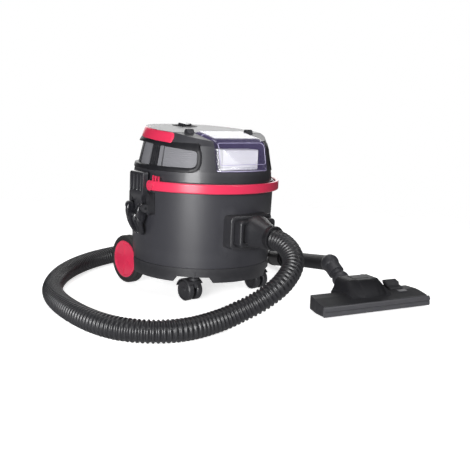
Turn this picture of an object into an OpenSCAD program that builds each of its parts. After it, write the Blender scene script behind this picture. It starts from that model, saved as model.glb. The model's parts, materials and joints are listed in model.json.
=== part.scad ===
// Drum vacuum cleaner on wheels, with its hose, hand tube and floor tool.
// The origin is on the floor under the middle of the vacuum's length, the inlet faces -Y and +Z is up.
// Places below are measured from the drum's axis and moved to the origin at the end.

/* [Drum] */
// Outer radius of the drum at its rim
drum_r = 165; // [158:1:172]
// How much smaller the drum's radius is at its foot
drum_taper = 4; // [1:0.5:8]
// Height of the rim above the floor
rim_z = 260; // [255:1:270]
// Height of the seam between drum and base tray
seam_z = 76; // [74:1:80]
// Wall thickness of the drum
drum_wall = 3; // [2.5:0.1:4]
// How far the rim bead stands out
rim_proud = 2.5; // [1.5:0.1:3]

/* [Base tray] */
// Height of the skirt's lower edge above the floor
skirt_z = 45; // [43:1:48]
// Wall thickness of the base tray
base_wall = 3; // [2.5:0.1:4]
// Thickness of the plate that the drum stands on
base_plate_t = 4; // [3:0.5:5]
// Height of the arches over the casters
arch_h = 12; // [11:1:14]

/* [Rear wheels] */
// Radius of the rear wheels
wheel_r = 57; // [54:1:60]
// Width of the rear wheels
wheel_w = 26; // [22:1:28]
// Distance of the wheel's outer face inside the drum's rim
wheel_inset = 26; // [23:1:28]
// Distance of the rear axle inside the drum's rim
axle_inset = 47; // [43:1:51]
// Radius of the rear axle
axle_r = 4; // [3:0.5:5]
// Radius of the hub cap
hub_r = 44; // [40:1:46]

/* [Casters] */
// Sideways distance of the caster stems inside the drum's rim
caster_inset_x = 66; // [63:1:69]
// Forward distance of the caster stems inside the drum's rim
caster_inset_y = 61; // [59:1:65]
// Radius of the caster wheels
caster_r = 23; // [22:0.5:24]
// Thickness of one caster wheel
caster_wheel_t = 15; // [12:1:16]
// Distance of the caster axle behind its stem
caster_trail = 12; // [10:1:14]

/* [Bail handle] */
// Width of the band
bail_h = 21; // [16:1:24]
// Thickness of the band
bail_t = 7.5; // [6:0.5:9]
// Gap between the drum's wall and the band
bail_gap = 5.5; // [4:0.5:8]
// Distance of the bail's pivots in front of the middle
bail_pivot_y = 35; // [30:1:40]

/* [Latches] */
// Direction of the latches, in degrees from the front
latch_az = 92; // [92:0.5:96]
// Height of the lever's pivot
latch_z = 201; // [196:1:206]
// Half the width of the hook block
latch_half_w = 18.5; // [16:0.5:20]
// Half the width of the whole latch
latch_half = 43; // [41:1:44]

/* [Head] */
// Height where the lower skirt meets the upper shell
head_split_z = 286; // [284:1:288]
// Height of the flat part of the top
head_top_z = 379; // [376:1:384]
// Wall thickness of the head
head_wall = 3; // [2.5:0.1:3.5]
// Direction of the side panels and grips, in degrees from the front
side_az = 95; // [93:1:97]
// Depth of the side recesses
recess_depth = 9; // [6:0.5:10]

/* [Filter cover] */
// Distance of the cover's sides inside the drum's rim
cover_inset = 88; // [85:1:93]
// Wall thickness of the clear cover
cover_wall = 2.5; // [2:0.1:3]
// Radius of the exhaust filter
exhaust_r = 21; // [18:1:22]
// Space beside each end of the exhaust filter
exhaust_space = 25; // [17:1:32]

/* [Inlet and hose] */
// Height of the inlet's bore
inlet_z = 155; // [153:1:158]
// Width of the inlet flange
inlet_w = 118; // [112:1:122]
// Height of the inlet flange
inlet_h = 74; // [70:1:78]
// Outer radius of the hose
hose_r = 22; // [20:0.5:23]

/* [Floor tool] */
// Width of the floor tool
tool_w = 286; // [270:1:300]
// Depth of the floor tool's housing
tool_d = 90; // [84:1:96]
// Height of the sole above the floor
tool_gap = 4; // [3:0.5:5]
// Height of the housing at its front edge
tool_front_h = 26; // [24:1:28]

/* [Hidden] */
$fn = 96;

black = [0.07, 0.07, 0.08];
charcoal = [0.16, 0.16, 0.18];
red = [0.80, 0.10, 0.18];
grey = [0.45, 0.45, 0.48];
steel = [0.72, 0.73, 0.75];
clear = [0.72, 0.70, 0.82, 0.5];

// Clearances: between fixed faces, round running pins, and between moving pieces
seat = 0.3;
run = 0.05;
gap = 0.6;
// Far enough to cut through anything
far = 400;
// Small overlap where one shape is cut out of another
nip = 0.01;

// ---------- shared shapes ----------

// Places children at a direction from the front: local X points out, local Y along the wall
module at_az(az) {
    rotate([0, 0, az - 90]) children();
}

// Repeats children at the left and, mirrored, at the right
module both_sides() {
    children();
    mirror([1, 0, 0]) children();
}

// Cylinder along X, from x0 to x1
module bar_x(x0, x1, r) {
    translate([x0, 0, 0]) rotate([0, 90, 0]) cylinder(r = r, h = x1 - x0);
}

// Cylinder along Y, from y0 to y1
module bar_y(y0, y1, r) {
    translate([0, y0, 0]) rotate([-90, 0, 0]) cylinder(r = r, h = y1 - y0);
}

// Ring of a section drawn at radius and height, over an angle each side of a direction
module arc(az, half) {
    rotate([0, 0, az - 90 - half]) rotate_extrude(angle = 2 * half) children();
}

// Rectangle with round corners
module round_rect(w, h, r) {
    offset(r = r) square([w - 2 * r, h - 2 * r], center = true);
}

// Tube between two points; bore 0 leaves it solid
module rod(a, b, r) {
    v = b - a;
    translate(a) rotate([0, acos(v.z / norm(v)), atan2(v.y, v.x)]) cylinder(r = r, h = norm(v));
}

// ---------- derived places ----------

drum_foot_r = drum_r - drum_taper;
wheel_face_x = drum_r - wheel_inset;
axle_y = drum_r - axle_inset;
caster_x = drum_r - caster_inset_x;
caster_y = drum_r - caster_inset_y;
bail_in_r = drum_r + bail_gap;
cover_half_w = drum_r - cover_inset;
exhaust_l = 2 * (cover_half_w - exhaust_space);

spigot_r = drum_foot_r - base_wall - gap;
plate_z = seam_z - 6;
drum_floor_z = plate_z + drum_wall;
skirt_r = drum_foot_r + 1;

// Outer radius of the drum's wall at a height
function drum_rad(z) = drum_foot_r + (drum_r - drum_foot_r) * (z - seam_z) / (rim_z - 10 - seam_z);

wheel_in_x = wheel_face_x - wheel_w;
pocket_x = wheel_in_x - 3;
pocket_r = wheel_r + 6;

caster_web = 8;
stem_r = 5;
stem_top = plate_z - 1;
socket_z = skirt_z + 8;

bail_z = rim_z - 8;
bail_end_r = 11;
bail_mid_r = bail_in_r + bail_t / 2;
bail_end_x = sqrt(pow(bail_mid_r, 2) - pow(bail_pivot_y, 2));
bail_end_az = atan2(bail_end_x, bail_pivot_y);

// Outer radius of the head at a height
head_foot_r = drum_r - 0.5;
head_side = [
    [rim_z, head_foot_r - 2.8],
    [head_split_z, head_foot_r - 6],
    [head_split_z + 16, head_foot_r - 9],
    [head_top_z - 38, head_foot_r - 16],
    [head_top_z - 30, head_foot_r - 21],
    [head_top_z - 10, head_foot_r - 27]
];
function head_rad(z) = lookup(z, head_side);

// The top falls gently towards the hinge line and more steeply in front of it
hinge_y = 109 - drum_r;
hinge_z = head_top_z - 12;
top_slope = 4.2;
front_slope = 12.5;
nose_slope = 63;
nose_y = 32 - drum_r;
nose_z = hinge_z + (nose_y - hinge_y) * tan(front_slope);

// Lower and upper edges of the side recesses
recess_lo = head_split_z + 5;
recess_hi = head_top_z - 35;
recess_half = 54;

// Deck that carries the motor
deck_z = rim_z + 18;
deck_t = 4;
motor_h = head_top_z - 45 - deck_z - deck_t;

// Wedge under the two planes of the head's top, moved up by a distance
module under_top(up) {
    translate([0, hinge_y, hinge_z + up]) {
        rotate([top_slope, 0, 0]) translate([-far, -far, -far]) cube([2 * far, 2 * far, far]);
    }
}

module under_front(up) {
    translate([0, hinge_y, hinge_z + up]) {
        rotate([front_slope, 0, 0]) translate([-far, -far, -far]) cube([2 * far, 2 * far, far]);
    }
}

module under_nose(up) {
    translate([0, nose_y, nose_z]) rotate([nose_slope, 0, 0]) {
        translate([-far, -far, -far]) cube([2 * far, 2 * far, far + up]);
    }
}

// ---------- drum and base ----------

// Half section of the drum's outer form
module drum_outline() {
    polygon([
        [0, plate_z], [spigot_r, plate_z], [spigot_r, seam_z + gap], [drum_foot_r, seam_z + gap],
        [drum_r, rim_z - 10], [drum_r + rim_proud, rim_z - 9], [drum_r + rim_proud, rim_z], [0, rim_z]
    ]);
}

// Half section of the space inside the drum
module drum_space() {
    polygon([
        [0, drum_floor_z + 4], [spigot_r - 30, drum_floor_z], [spigot_r - drum_wall - 8, drum_floor_z],
        [spigot_r - drum_wall, drum_floor_z + 8], [drum_foot_r - drum_wall, seam_z + 16],
        [drum_r - drum_wall, rim_z - 10], [drum_r - drum_wall, rim_z + 1], [0, rim_z + 1]
    ]);
}

// Solid that follows the drum's wall at a distance, up to the rim bead
module drum_cutter(away) {
    rotate_extrude() polygon([
        [0, 0], [drum_foot_r + away, 0], [drum_foot_r + away, seam_z], [drum_r + away, rim_z - 10],
        [drum_r + away, rim_z + 1], [0, rim_z + 1]
    ]);
}

// Round pocket for a rear wheel at the left, or its walls when grown
module wheel_pocket(grow) {
    translate([0, axle_y, wheel_r]) bar_x(-far, -pocket_x + grow, pocket_r + grow);
}

module drum() {
    color(charcoal) difference() {
        union() {
            difference() {
                rotate_extrude() drum_outline();
                rotate_extrude() drum_space();
            }
            intersection() {
                rotate_extrude() drum_outline();
                both_sides() wheel_pocket(drum_wall);
            }
            bail_bosses();
            inlet_neck();
        }
        both_sides() wheel_pocket(0);
        both_sides() bail_bore();
        translate([0, 0, inlet_z]) bar_y(-far, -drum_r + 40, inlet_bore_r);
        inlet_screw_places() bar_y(-far, 0, screw_r - 0.4);
    }
}

// Bosses outside the wall that carry the bail's pins
module bail_bosses() {
    intersection() {
        both_sides() translate([0, -bail_pivot_y, bail_z]) {
            bar_x(-bail_end_x + bail_t / 2 + seat, -bail_end_x + 22, bail_end_r - 1);
        }
        difference() {
            cylinder(r = bail_in_r - seat, h = rim_z + bail_end_r + 3);
            rotate_extrude() drum_space();
            translate([0, 0, rim_z]) cylinder(r = far, h = far);
        }
    }
}

module bail_bore() {
    translate([0, -bail_pivot_y, bail_z]) bar_x(-far, -bail_pin_x, bail_pin_r);
}

bail_pin_x = bail_end_x - 10;
bail_pin_r = 4;

module base_tray() {
    color(black) difference() {
        union() {
            difference() {
                rotate_extrude() base_outline();
                rotate_extrude() base_space();
            }
            intersection() {
                rotate_extrude() base_outline();
                both_sides() wheel_pocket(base_wall);
            }
            both_sides() caster_socket();
            both_sides() axle_boss();
        }
        both_sides() wheel_pocket(0);
        caster_arches();
        both_sides() translate([caster_x, -caster_y, 0]) cylinder(r = stem_r + run, h = stem_top + 0.5);
        translate([0, axle_y, wheel_r]) bar_x(-far, far, axle_r);
    }
}

// Half section of the base tray's outer form
module base_outline() {
    polygon([
        [0, skirt_z], [skirt_r - 1, skirt_z], [skirt_r, seam_z], [skirt_r - base_wall, seam_z],
        [skirt_r - base_wall, plate_z], [0, plate_z]
    ]);
}

// Half section of the space under its plate
module base_space() {
    polygon([
        [0, skirt_z - 1], [skirt_r - base_wall - 1, skirt_z - 1], [skirt_r - base_wall - 1, plate_z - base_plate_t - 4],
        [skirt_r - base_wall - 5, plate_z - base_plate_t], [0, plate_z - base_plate_t]
    ]);
}

// Socket for a caster stem, at the right
module caster_socket() {
    translate([caster_x, -caster_y, socket_z]) {
        cylinder(r = stem_r + 5, h = plate_z - socket_z);
        for (a = [0:60:300]) {
            rotate([0, 0, a]) translate([0, -1, 3]) cube([stem_r + 14, 2, plate_z - socket_z - 3]);
        }
    }
}

// Arches cut in the skirt over the casters, with sloping ends
module caster_arches() {
    az = atan2(caster_x, caster_y);
    arch_half = 12.5;
    for (s = [-1, 1]) {
        rotate([0, 0, s * az]) translate([0, -skirt_r + 25, skirt_z]) rotate([90, 0, 0]) linear_extrude(height = 40) {
            polygon([
                [-skirt_r * sin(arch_half + 4) - 2, -6], [-skirt_r * sin(arch_half), arch_h],
                [skirt_r * sin(arch_half), arch_h], [skirt_r * sin(arch_half + 4) + 2, -6]
            ]);
        }
    }
}

// Boss and rib that carry the axle, at the left
module axle_boss() {
    translate([0, axle_y, wheel_r]) bar_x(-pocket_x, -pocket_x + 14, axle_r + 6);
    translate([-pocket_x + 4, axle_y - 20, wheel_r - 6]) cube([base_wall, 40, plate_z - wheel_r + 6]);
    translate([-40, axle_y - 9, wheel_r - 9]) cube([base_wall, 18, plate_z - wheel_r + 9]);
}

module rear_axle() {
    color(steel) translate([0, axle_y, wheel_r]) bar_x(-wheel_face_x + 5, wheel_face_x - 5, axle_r);
}

// Washers between the pocket walls and the wheels, and lock rings outside the wheels
module axle_washers() {
    color(steel) both_sides() translate([0, axle_y, wheel_r]) difference() {
        union() {
            bar_x(-wheel_in_x + seat, -pocket_x, axle_r + 5);
            bar_x(-wheel_face_x + 6, -wheel_face_x + 8 - seat, axle_r + 4);
        }
        bar_x(-far, 0, axle_r);
    }
}

// ---------- rear wheels ----------

tyre_in_r = hub_r + 2;

// The left wheel's pieces; the right ones are mirrored
module tyre() {
    color(black) translate([-wheel_in_x, axle_y, wheel_r]) rotate([0, -90, 0]) rotate_extrude() {
        difference() {
            hull() for (p = [[tyre_in_r + 2, 1.5], [wheel_r - 6, 6], [wheel_r - 6, wheel_w - 6],
                             [tyre_in_r + 2, wheel_w - 2.5]]) {
                translate(p) circle(r = p.x > tyre_in_r + 3 ? 6 : 1.5, $fn = 32);
            }
            translate([0, -1]) square([tyre_in_r, wheel_w + 2]);
            for (y = [wheel_w / 2 - 5, wheel_w / 2, wheel_w / 2 + 5]) {
                translate([wheel_r, y]) circle(r = 0.9, $fn = 24);
            }
        }
    }
}

module rim() {
    color(black) translate([-wheel_in_x, axle_y, wheel_r]) rotate([0, -90, 0]) {
        difference() {
            rotate_extrude() polygon([
                [axle_r + run, 0], [axle_r + 5, 0], [axle_r + 6, wheel_w - 12], [hub_r - 4, wheel_w - 12],
                [hub_r - 4, 2], [tyre_in_r, 2], [tyre_in_r, wheel_w - 3], [hub_r - 1, wheel_w - 3],
                [hub_r - 1, wheel_w - 8], [axle_r + run, wheel_w - 8]
            ]);
        }
        for (a = [0:60:300]) {
            rotate([0, 0, a]) translate([axle_r + 5.5, -1.2, 3]) cube([hub_r - axle_r - 9, 2.4, wheel_w - 14]);
        }
    }
}

// Dished cap with a raised border and five broad spokes
module hub_cap() {
    color(red) translate([-wheel_in_x, axle_y, wheel_r]) rotate([0, -90, 0]) {
        rotate_extrude() polygon([
            [0, wheel_w - 3], [hub_r - 8, wheel_w - 3], [hub_r - 8, wheel_w - 8 + seat],
            [hub_r - 6, wheel_w - 8 + seat], [hub_r - 6, wheel_w - 3 + seat], [hub_r, wheel_w - 3 + seat],
            [hub_r, wheel_w - 0.5], [hub_r - 1.5, wheel_w], [hub_r - 4, wheel_w],
            [hub_r - 6, wheel_w - 1.4], [12, wheel_w - 0.4], [10, wheel_w], [0, wheel_w]
        ]);
        for (a = [0:72:288]) {
            rotate([0, 0, a + 18]) translate([0, 0, wheel_w - 2]) linear_extrude(height = 1.8) {
                polygon([[8, -5], [hub_r - 3, -8.5], [hub_r - 3, 8.5], [8, 5]]);
            }
        }
    }
}

// ---------- casters, at the right ----------

module caster_place() {
    translate([caster_x, -caster_y, 0]) children();
}

module caster_axle_place() {
    caster_place() translate([0, caster_trail, caster_r]) children();
}

// Stem, thrust collar, web between the wheels and a hood over them
module caster_fork() {
    hood_w = caster_web / 2 + caster_wheel_t;
    color(black) difference() {
        union() {
            caster_place() {
                translate([0, 0, 2 * caster_r - 1]) cylinder(r = stem_r, h = stem_top - 2 * caster_r + 1);
                translate([0, 0, socket_z - 5]) cylinder(r = stem_r + 6, h = 5 - seat);
            }
            caster_axle_place() {
                bar_x(-caster_web / 2 + 0.5, caster_web / 2 - 0.5, 9);
                intersection() {
                    bar_x(-caster_web / 2 + 0.5, caster_web / 2 - 0.5, caster_r + 4);
                    rotate([-12, 0, 0]) translate([-far, -far, 4]) cube([2 * far, 2 * far, far]);
                }
                intersection() {
                    difference() {
                        bar_x(-hood_w, hood_w, caster_r + 4);
                        bar_x(-hood_w - 1, -caster_web / 2 + 0.5, caster_r + 1.5);
                        bar_x(caster_web / 2 - 0.5, hood_w + 1, caster_r + 1.5);
                    }
                    rotate([-12, 0, 0]) translate([-far, -far, 12]) cube([2 * far, 2 * far, far]);
                }
            }
        }
        caster_axle_place() bar_x(-far, far, caster_pin_r);
    }
}

caster_pin_r = 3;

module caster_axle() {
    reach = caster_web / 2 + caster_wheel_t - 3;
    color(steel) caster_axle_place() bar_x(-reach, reach, caster_pin_r);
}

// Two wheels with a soft tread, a dished face and a blind hub
module caster_wheels() {
    color(charcoal) caster_axle_place() both_sides() {
        translate([caster_web / 2 + 0.3, 0, 0]) rotate([0, 90, 0]) rotate_extrude() polygon([
            [caster_pin_r + run, 0], [7, 0], [7, 2], [caster_r - 6, 2], [caster_r - 5, 0], [caster_r - 1.5, 0],
            [caster_r, 1.5], [caster_r, caster_wheel_t - 3], [caster_r - 2, caster_wheel_t - 0.7],
            [caster_r - 4, caster_wheel_t], [caster_r - 6, caster_wheel_t - 1.2],
            [8, caster_wheel_t - 1.2], [6, caster_wheel_t], [0, caster_wheel_t],
            [0, caster_wheel_t - 2.5], [caster_pin_r + run, caster_wheel_t - 2.5]
        ]);
    }
}

// ---------- bail handle ----------

module bail_handle() {
    color(red) difference() {
        union() {
            arc(0, bail_end_az) translate([bail_mid_r, bail_z]) round_rect(bail_t, bail_h, 3);
            both_sides() translate([0, -bail_pivot_y, bail_z]) {
                bar_x(-bail_end_x - bail_t / 2, -bail_end_x + bail_t / 2, bail_end_r);
            }
            both_sides() for (i = [1, 2, 3]) {
                at_az(-bail_end_az + 2.4 * i) translate([bail_in_r + 1, -1.2, bail_z]) {
                    cube([bail_t - 3, 2.4, bail_h / 2 + 13 - i]);
                }
            }
        }
        both_sides() translate([0, -bail_pivot_y, bail_z]) {
            bar_x(-far, -drum_r / 2, bail_pin_r + run);
            bar_x(-far, -bail_end_x - bail_t / 2 + 2.5, 7.5);
        }
    }
}

module bail_pins() {
    color(black) both_sides() translate([0, -bail_pivot_y, bail_z]) {
        bar_x(-bail_end_x - bail_t / 2 + 0.6, -bail_pin_x, bail_pin_r);
        bar_x(-bail_end_x - bail_t / 2 + 0.6, -bail_end_x - bail_t / 2 + 2.5 - seat, 7);
    }
}

// ---------- inlet ----------

inlet_bore_r = 16;
screw_r = 2.4;
flange_z = inlet_z + 4.5;
flange_face_r = drum_r + 31;

// Short neck inside the drum round the inlet bore
gasket_t = 1.5;
gasket_gap = 0.1;

module inlet_neck() {
    intersection() {
        translate([0, 0, inlet_z]) bar_y(-drum_r, -drum_r + 24, inlet_bore_r + drum_wall);
        rotate_extrude() drum_outline();
    }
}

module inlet_screw_places() {
    for (x = [-1, 1], z = [-1, 1]) {
        translate([x * (inlet_w / 2 - 12), 0, flange_z + z * (inlet_h / 2 - 12)]) children();
    }
}

// Block in front of the drum, its back following the wall
module flange_block(w, h, r_out, corner) {
    intersection() {
        translate([0, -drum_r + 40, flange_z]) rotate([90, 0, 0]) linear_extrude(height = 90) round_rect(w, h, corner);
        difference() {
            cylinder(r = r_out, h = rim_z);
            drum_cutter(gasket_t);
        }
    }
}

// Outline of the peaked shroud over the connector's neck
module shroud_outline() {
    offset(r = 5) polygon([[-19, -19], [-19, 11], [0, 26], [19, 11], [19, -19]]);
}

// Base block, raised frame round a recess, and the shroud that carries the neck
module inlet_flange() {
    color(charcoal) difference() {
        union() {
            flange_block(inlet_w, inlet_h, drum_r + 21, 6);
            difference() {
                union() {
                    flange_block(inlet_w - 10, inlet_h - 6, flange_face_r - 3, 9);
                    flange_block(inlet_w - 15, inlet_h - 11, flange_face_r, 9);
                }
                translate([0, -drum_r - 14, flange_z]) rotate([90, 0, 0]) linear_extrude(height = far) {
                    round_rect(inlet_w - 44, inlet_h - 27, 6);
                }
            }
            translate([0, -drum_r - 6, inlet_z]) rotate([90, 0, 0]) linear_extrude(height = 30) shroud_outline();
            translate([0, 0, inlet_z]) bar_y(-connector_y, -drum_r - 4, inlet_bore_r + 5);
        }
        translate([0, 0, inlet_z]) bar_y(-far, 0, inlet_bore_r + 2);
        inlet_screw_places() bar_y(-far, 0, screw_r + 0.1);
        inlet_screw_places() bar_y(-far, -screw_head_y, 5);
    }
}

screw_head_y = drum_r + 3;
connector_y = drum_r + 48;

module inlet_gasket() {
    color(black) difference() {
        intersection() {
            translate([0, -drum_r + 40, flange_z]) rotate([90, 0, 0]) linear_extrude(height = 90) {
                round_rect(inlet_w - 2, inlet_h - 2, 6);
            }
            rotate_extrude() polygon([
                [drum_foot_r + gasket_gap, seam_z], [drum_foot_r + gasket_t - gasket_gap, seam_z],
                [drum_r + gasket_t - gasket_gap, rim_z - 10], [drum_r + gasket_gap, rim_z - 10]
            ]);
        }
        translate([0, 0, inlet_z]) bar_y(-far, 0, inlet_bore_r + 2);
        inlet_screw_places() bar_y(-far, 0, screw_r + 0.1);
    }
}

module inlet_screws() {
    color(steel) inlet_screw_places() difference() {
        union() {
            bar_y(-screw_head_y - 2.5, -screw_head_y, 4.2);
            bar_y(-screw_head_y - 1, -drum_r + 22, screw_r - 0.4);
        }
        translate([0, -screw_head_y - 1.5, 0]) rotate([90, 0, 0]) cylinder(r = 2, h = 5, $fn = 6);
    }
}

// Elbow inside the drum that turns the air down and to the side
module inlet_deflector() {
    color(black) translate([0, -drum_r + 24, inlet_z]) difference() {
        union() {
            bar_y(0, 30, inlet_bore_r + drum_wall);
            translate([0, 30, 0]) sphere(r = inlet_bore_r + drum_wall);
            translate([0, 30, -36]) cylinder(r = inlet_bore_r + drum_wall, h = 36);
        }
        bar_y(-1, 30, inlet_bore_r);
        translate([0, 30, 0]) sphere(r = inlet_bore_r);
        translate([0, 30, -40]) cylinder(r = inlet_bore_r, h = 40);
    }
}

// Connector that plugs the hose into the flange
module hose_connector() {
    color(black) translate([0, 0, inlet_z]) difference() {
        union() {
            bar_y(-connector_y - 14, -drum_r - 6, inlet_bore_r + 2 - run);
            bar_y(-connector_y - 8, -connector_y - seat, inlet_bore_r + 6);
            bar_y(-hose_start_y, -connector_y - 10, hose_r + 1.5);
        }
        bar_y(-far, 0, inlet_bore_r - 1);
    }
}

hose_start_y = connector_y + 19;

// ---------- hose ----------

// Middle line of the hose, from the connector to the cuff on the hand tube
hose_route = [
    [0, -232, 155], [0, -250, 154], [-2, -274, 150], [-7, -299, 143], [-17, -322, 131],
    [-34, -340, 117], [-57, -351, 102], [-83, -355, 86], [-108, -350, 70], [-132, -341, 55],
    [-160, -330, 41], [-192, -322, 30], [-231, -318, 24], [-270, -317, 22.5], [-306, -309, 22.5],
    [-336, -293, 22.5], [-361, -269, 22.5], [-380, -237, 22.5], [-391, -196, 22.5], [-395, -148, 22.5],
    [-393, -96, 22.5], [-386, -42, 22.5], [-374, 8, 22.5], [-356, 56, 22.5], [-331, 101, 22.5],
    [-299, 146, 22.5], [-260, 190, 22.5], [-211, 233, 22.5], [-155, 270, 22.5], [-95, 298, 22.5],
    [-28, 318, 22.5], [44, 329, 22.5], [116, 330, 22.5], [184, 318, 22.5], [244, 292, 22.5],
    [292, 252, 22.5], [320, 203, 22.5], [328, 152, 22.5], [322, 108, 22.5], [308, 66, 24.5]
];
hose_steps = 2;

// Smooth curve through the route: place and direction between points i and i + 1
function route(i) = hose_route[max(0, min(len(hose_route) - 1, i))];
function route_at(i, t) = 0.5 * (2 * route(i) + (route(i + 1) - route(i - 1)) * t
    + (2 * route(i - 1) - 5 * route(i) + 4 * route(i + 1) - route(i + 2)) * t * t
    + (3 * route(i) - route(i - 1) - 3 * route(i + 1) + route(i + 2)) * t * t * t);
function route_line() = concat(
    [for (i = [0:len(hose_route) - 2], k = [0:hose_steps - 1]) route_at(i, k / hose_steps)],
    [route(len(hose_route) - 1)]
);
function unit(v) = v / norm(v);
function route_dir(line, i) = i == 0 ? [0, -1, 0]
    : i == len(line) - 1 ? tube_dir : unit(line[i + 1] - line[i - 1]);

// Tube swept along a line with flat ends; the rings keep one side level
module sweep(line, r, sides) {
    n = len(line);
    points = [for (i = [0:n - 1]) let (d = route_dir(line, i), s = unit(cross(d, [0, 0, 1])), u = cross(s, d))
        for (k = [0:sides - 1]) line[i] + r * (cos(360 * k / sides) * s + sin(360 * k / sides) * u)];
    walls = [for (i = [0:n - 2], k = [0:sides - 1]) let (m = (k + 1) % sides)
        [i * sides + k, i * sides + m, (i + 1) * sides + m, (i + 1) * sides + k]];
    ends = [[for (k = [sides - 1:-1:0]) k], [for (k = [0:sides - 1]) (n - 1) * sides + k]];
    polyhedron(points = points, faces = concat(walls, ends), convexity = 8);
}

module hose() {
    color(black) sweep(route_line(), hose_r, 10);
}

// ---------- hand tube and floor tool ----------

tool_pos = [182, -395, 0];
tool_yaw = -12.7;
pivot_y = 84;
pivot_z = 36;
swivel_tilt = 32;
swivel = [0, 138, 42];
elbow = [0, 184, 70];
tube_r = 18;
tube_wall = 2.5;
cuff_l = 70;

// World place of the cuff's end, and the direction from there back along the hand tube
cuff_end = hose_route[len(hose_route) - 1];
elbow_world = to_world(elbow);
tube_dir = unit(elbow_world - cuff_end);
function to_world(p) = tool_pos + [
    p.x * cos(tool_yaw) - p.y * sin(tool_yaw), p.x * sin(tool_yaw) + p.y * cos(tool_yaw), p.z];
function turned(v) = [v.x * cos(tool_yaw) - v.y * sin(tool_yaw), v.x * sin(tool_yaw) + v.y * cos(tool_yaw), v.z];
swivel_dir = turned([0, cos(swivel_tilt), sin(swivel_tilt)]);
swivel_world = to_world(swivel);
ball_r = 20;

module at_tool() {
    translate(tool_pos) rotate([0, 0, tool_yaw]) children();
}

module hose_cuff() {
    color(black) difference() {
        union() {
            rod(cuff_end, cuff_end + tube_dir * cuff_l, hose_r + 1);
            rod(cuff_end + tube_dir * 8, cuff_end + tube_dir * 14, hose_r + 2);
            rod(cuff_end + tube_dir * (cuff_l - 8), cuff_end + tube_dir * cuff_l, hose_r + 2);
        }
        rod(cuff_end - tube_dir, cuff_end + tube_dir * (cuff_l + 1), tube_r + run);
    }
}

// Straight tube from the cuff to the elbow
module hand_tube() {
    start = cuff_end + tube_dir * 24;
    end = elbow_world - tube_dir * elbow_socket;
    color(black) difference() {
        union() {
            rod(start, end, tube_r);
            rod(cuff_end + tube_dir * (cuff_l + seat), cuff_end + tube_dir * (cuff_l + 10), tube_r + 3);
        }
        rod(start - tube_dir, end + tube_dir, tube_r - tube_wall);
    }
}

elbow_socket = 9;

// Elbow between the straight tube and the swivel on the tool's neck
module tube_elbow() {
    low = swivel_world + swivel_dir * (ball_r + 1.5);
    color(black) difference() {
        union() {
            translate(elbow_world) sphere(r = tube_r + 3.5);
            rod(low, elbow_world, tube_r + 0.7);
        }
        rod(elbow_world - tube_dir * elbow_socket, elbow_world - tube_dir * far, far / 2);
        rod(elbow_world, elbow_world - tube_dir * far, tube_r - tube_wall - 0.2);
        translate(elbow_world) sphere(r = tube_r - tube_wall + 1.5);
        rod(low - swivel_dir * 6, low + swivel_dir * 32, tube_r - tube_wall);
    }
}

// Barrel on the tool's hinge, ball and spigot that turns in the hand tube
module tool_neck() {
    spigot_r2 = tube_r - tube_wall - 2 * run;
    color(black) at_tool() difference() {
        union() {
            translate([0, pivot_y, pivot_z]) bar_x(-19, 19, 17);
            rod([0, pivot_y, pivot_z], swivel, 15);
            translate(swivel) sphere(r = ball_r);
            rod(swivel, swivel + [0, cos(swivel_tilt), sin(swivel_tilt)] * 40, spigot_r2);
        }
        translate([0, pivot_y, pivot_z]) bar_x(-far, far, neck_pin_r + run);
        rod([0, pivot_y + 19, pivot_z + 2], swivel, 11);
        translate(swivel) sphere(r = 12.6);
        rod(swivel, swivel + [0, cos(swivel_tilt), sin(swivel_tilt)] * 60, 12);
    }
}

neck_pin_r = 5;

// Plan outline of the floor tool
module tool_plan(inset) {
    offset(delta = -inset) offset(r = 7) offset(delta = -7) polygon([
        [-tool_w / 2, 0], [tool_w / 2, 0], [tool_w / 2 - 1, 30], [tool_w / 2 - 10, 66],
        [tool_w / 2 - 34, tool_d], [-tool_w / 2 + 34, tool_d], [-tool_w / 2 + 10, 66], [-tool_w / 2 + 1, 30]
    ]);
}

// Wedge between the sole and the sloping roof of the housing
module tool_roof(inset) {
    rotate([90, 0, 90]) translate([0, 0, -far]) linear_extrude(height = 2 * far) polygon([
        [-1, tool_gap + 3], [-1, tool_front_h - inset], [4, tool_front_h - inset], [40, tool_front_h + 7 - inset],
        [66, tool_front_h + 8 - inset], [tool_d + 1, tool_front_h - 2 - inset], [tool_d + 1, tool_gap + 3]
    ]);
}

// Hump over the neck's hinge
module tool_hump(inset) {
    hull() {
        translate([-39 + inset, 56 + inset, 50]) cube([78 - 2 * inset, tool_d + 5 - 56 - 2 * inset, 11 - inset]);
        translate([-56 + inset, 20 + inset, tool_front_h - 2]) {
            cube([112 - 2 * inset, tool_d + 7 - 20 - 2 * inset, 4]);
        }
    }
}

module tool_body() {
    color(black) at_tool() difference() {
        union() {
            difference() {
                tool_shell();
                neck_slot();
                translate([pedal_x - pedal_w / 2 - gap, pedal_pin_y - 20, tool_front_h - 8]) {
                    cube([pedal_w + 2 * gap, 38, 30]);
                }
                at_rollers() bar_x(-roller_l / 2 - gap, roller_l / 2 + gap, roller_r + 1);
            }
            for (x = [-26, 20]) {
                translate([x, pivot_y - 12, tool_gap + 3]) cube([6, 20, pivot_z - tool_gap]);
            }
            translate([0, pivot_y, pivot_z]) bar_x(-26, 26, neck_pin_r);
            translate([-20, 64, 60]) cube([40, 26, 2.5]);
            for (s = [-1, 1]) {
                translate([pedal_x + s * (pedal_w / 2 + 3) - 2.4 + s * gap, pedal_pin_y - 5, tool_gap + 3]) {
                    cube([4.8, 10, pedal_pin_z - tool_gap]);
                }
            }
            translate([pedal_x, pedal_pin_y, pedal_pin_z]) bar_x(-pedal_w / 2 - 4, pedal_w / 2 + 4, pedal_pin_r);
            roller_cheeks();
        }
        at_rollers() bar_x(-roller_l / 2 - 6, roller_l / 2 + 6, roller_pin_r + run);
    }
}

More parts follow.
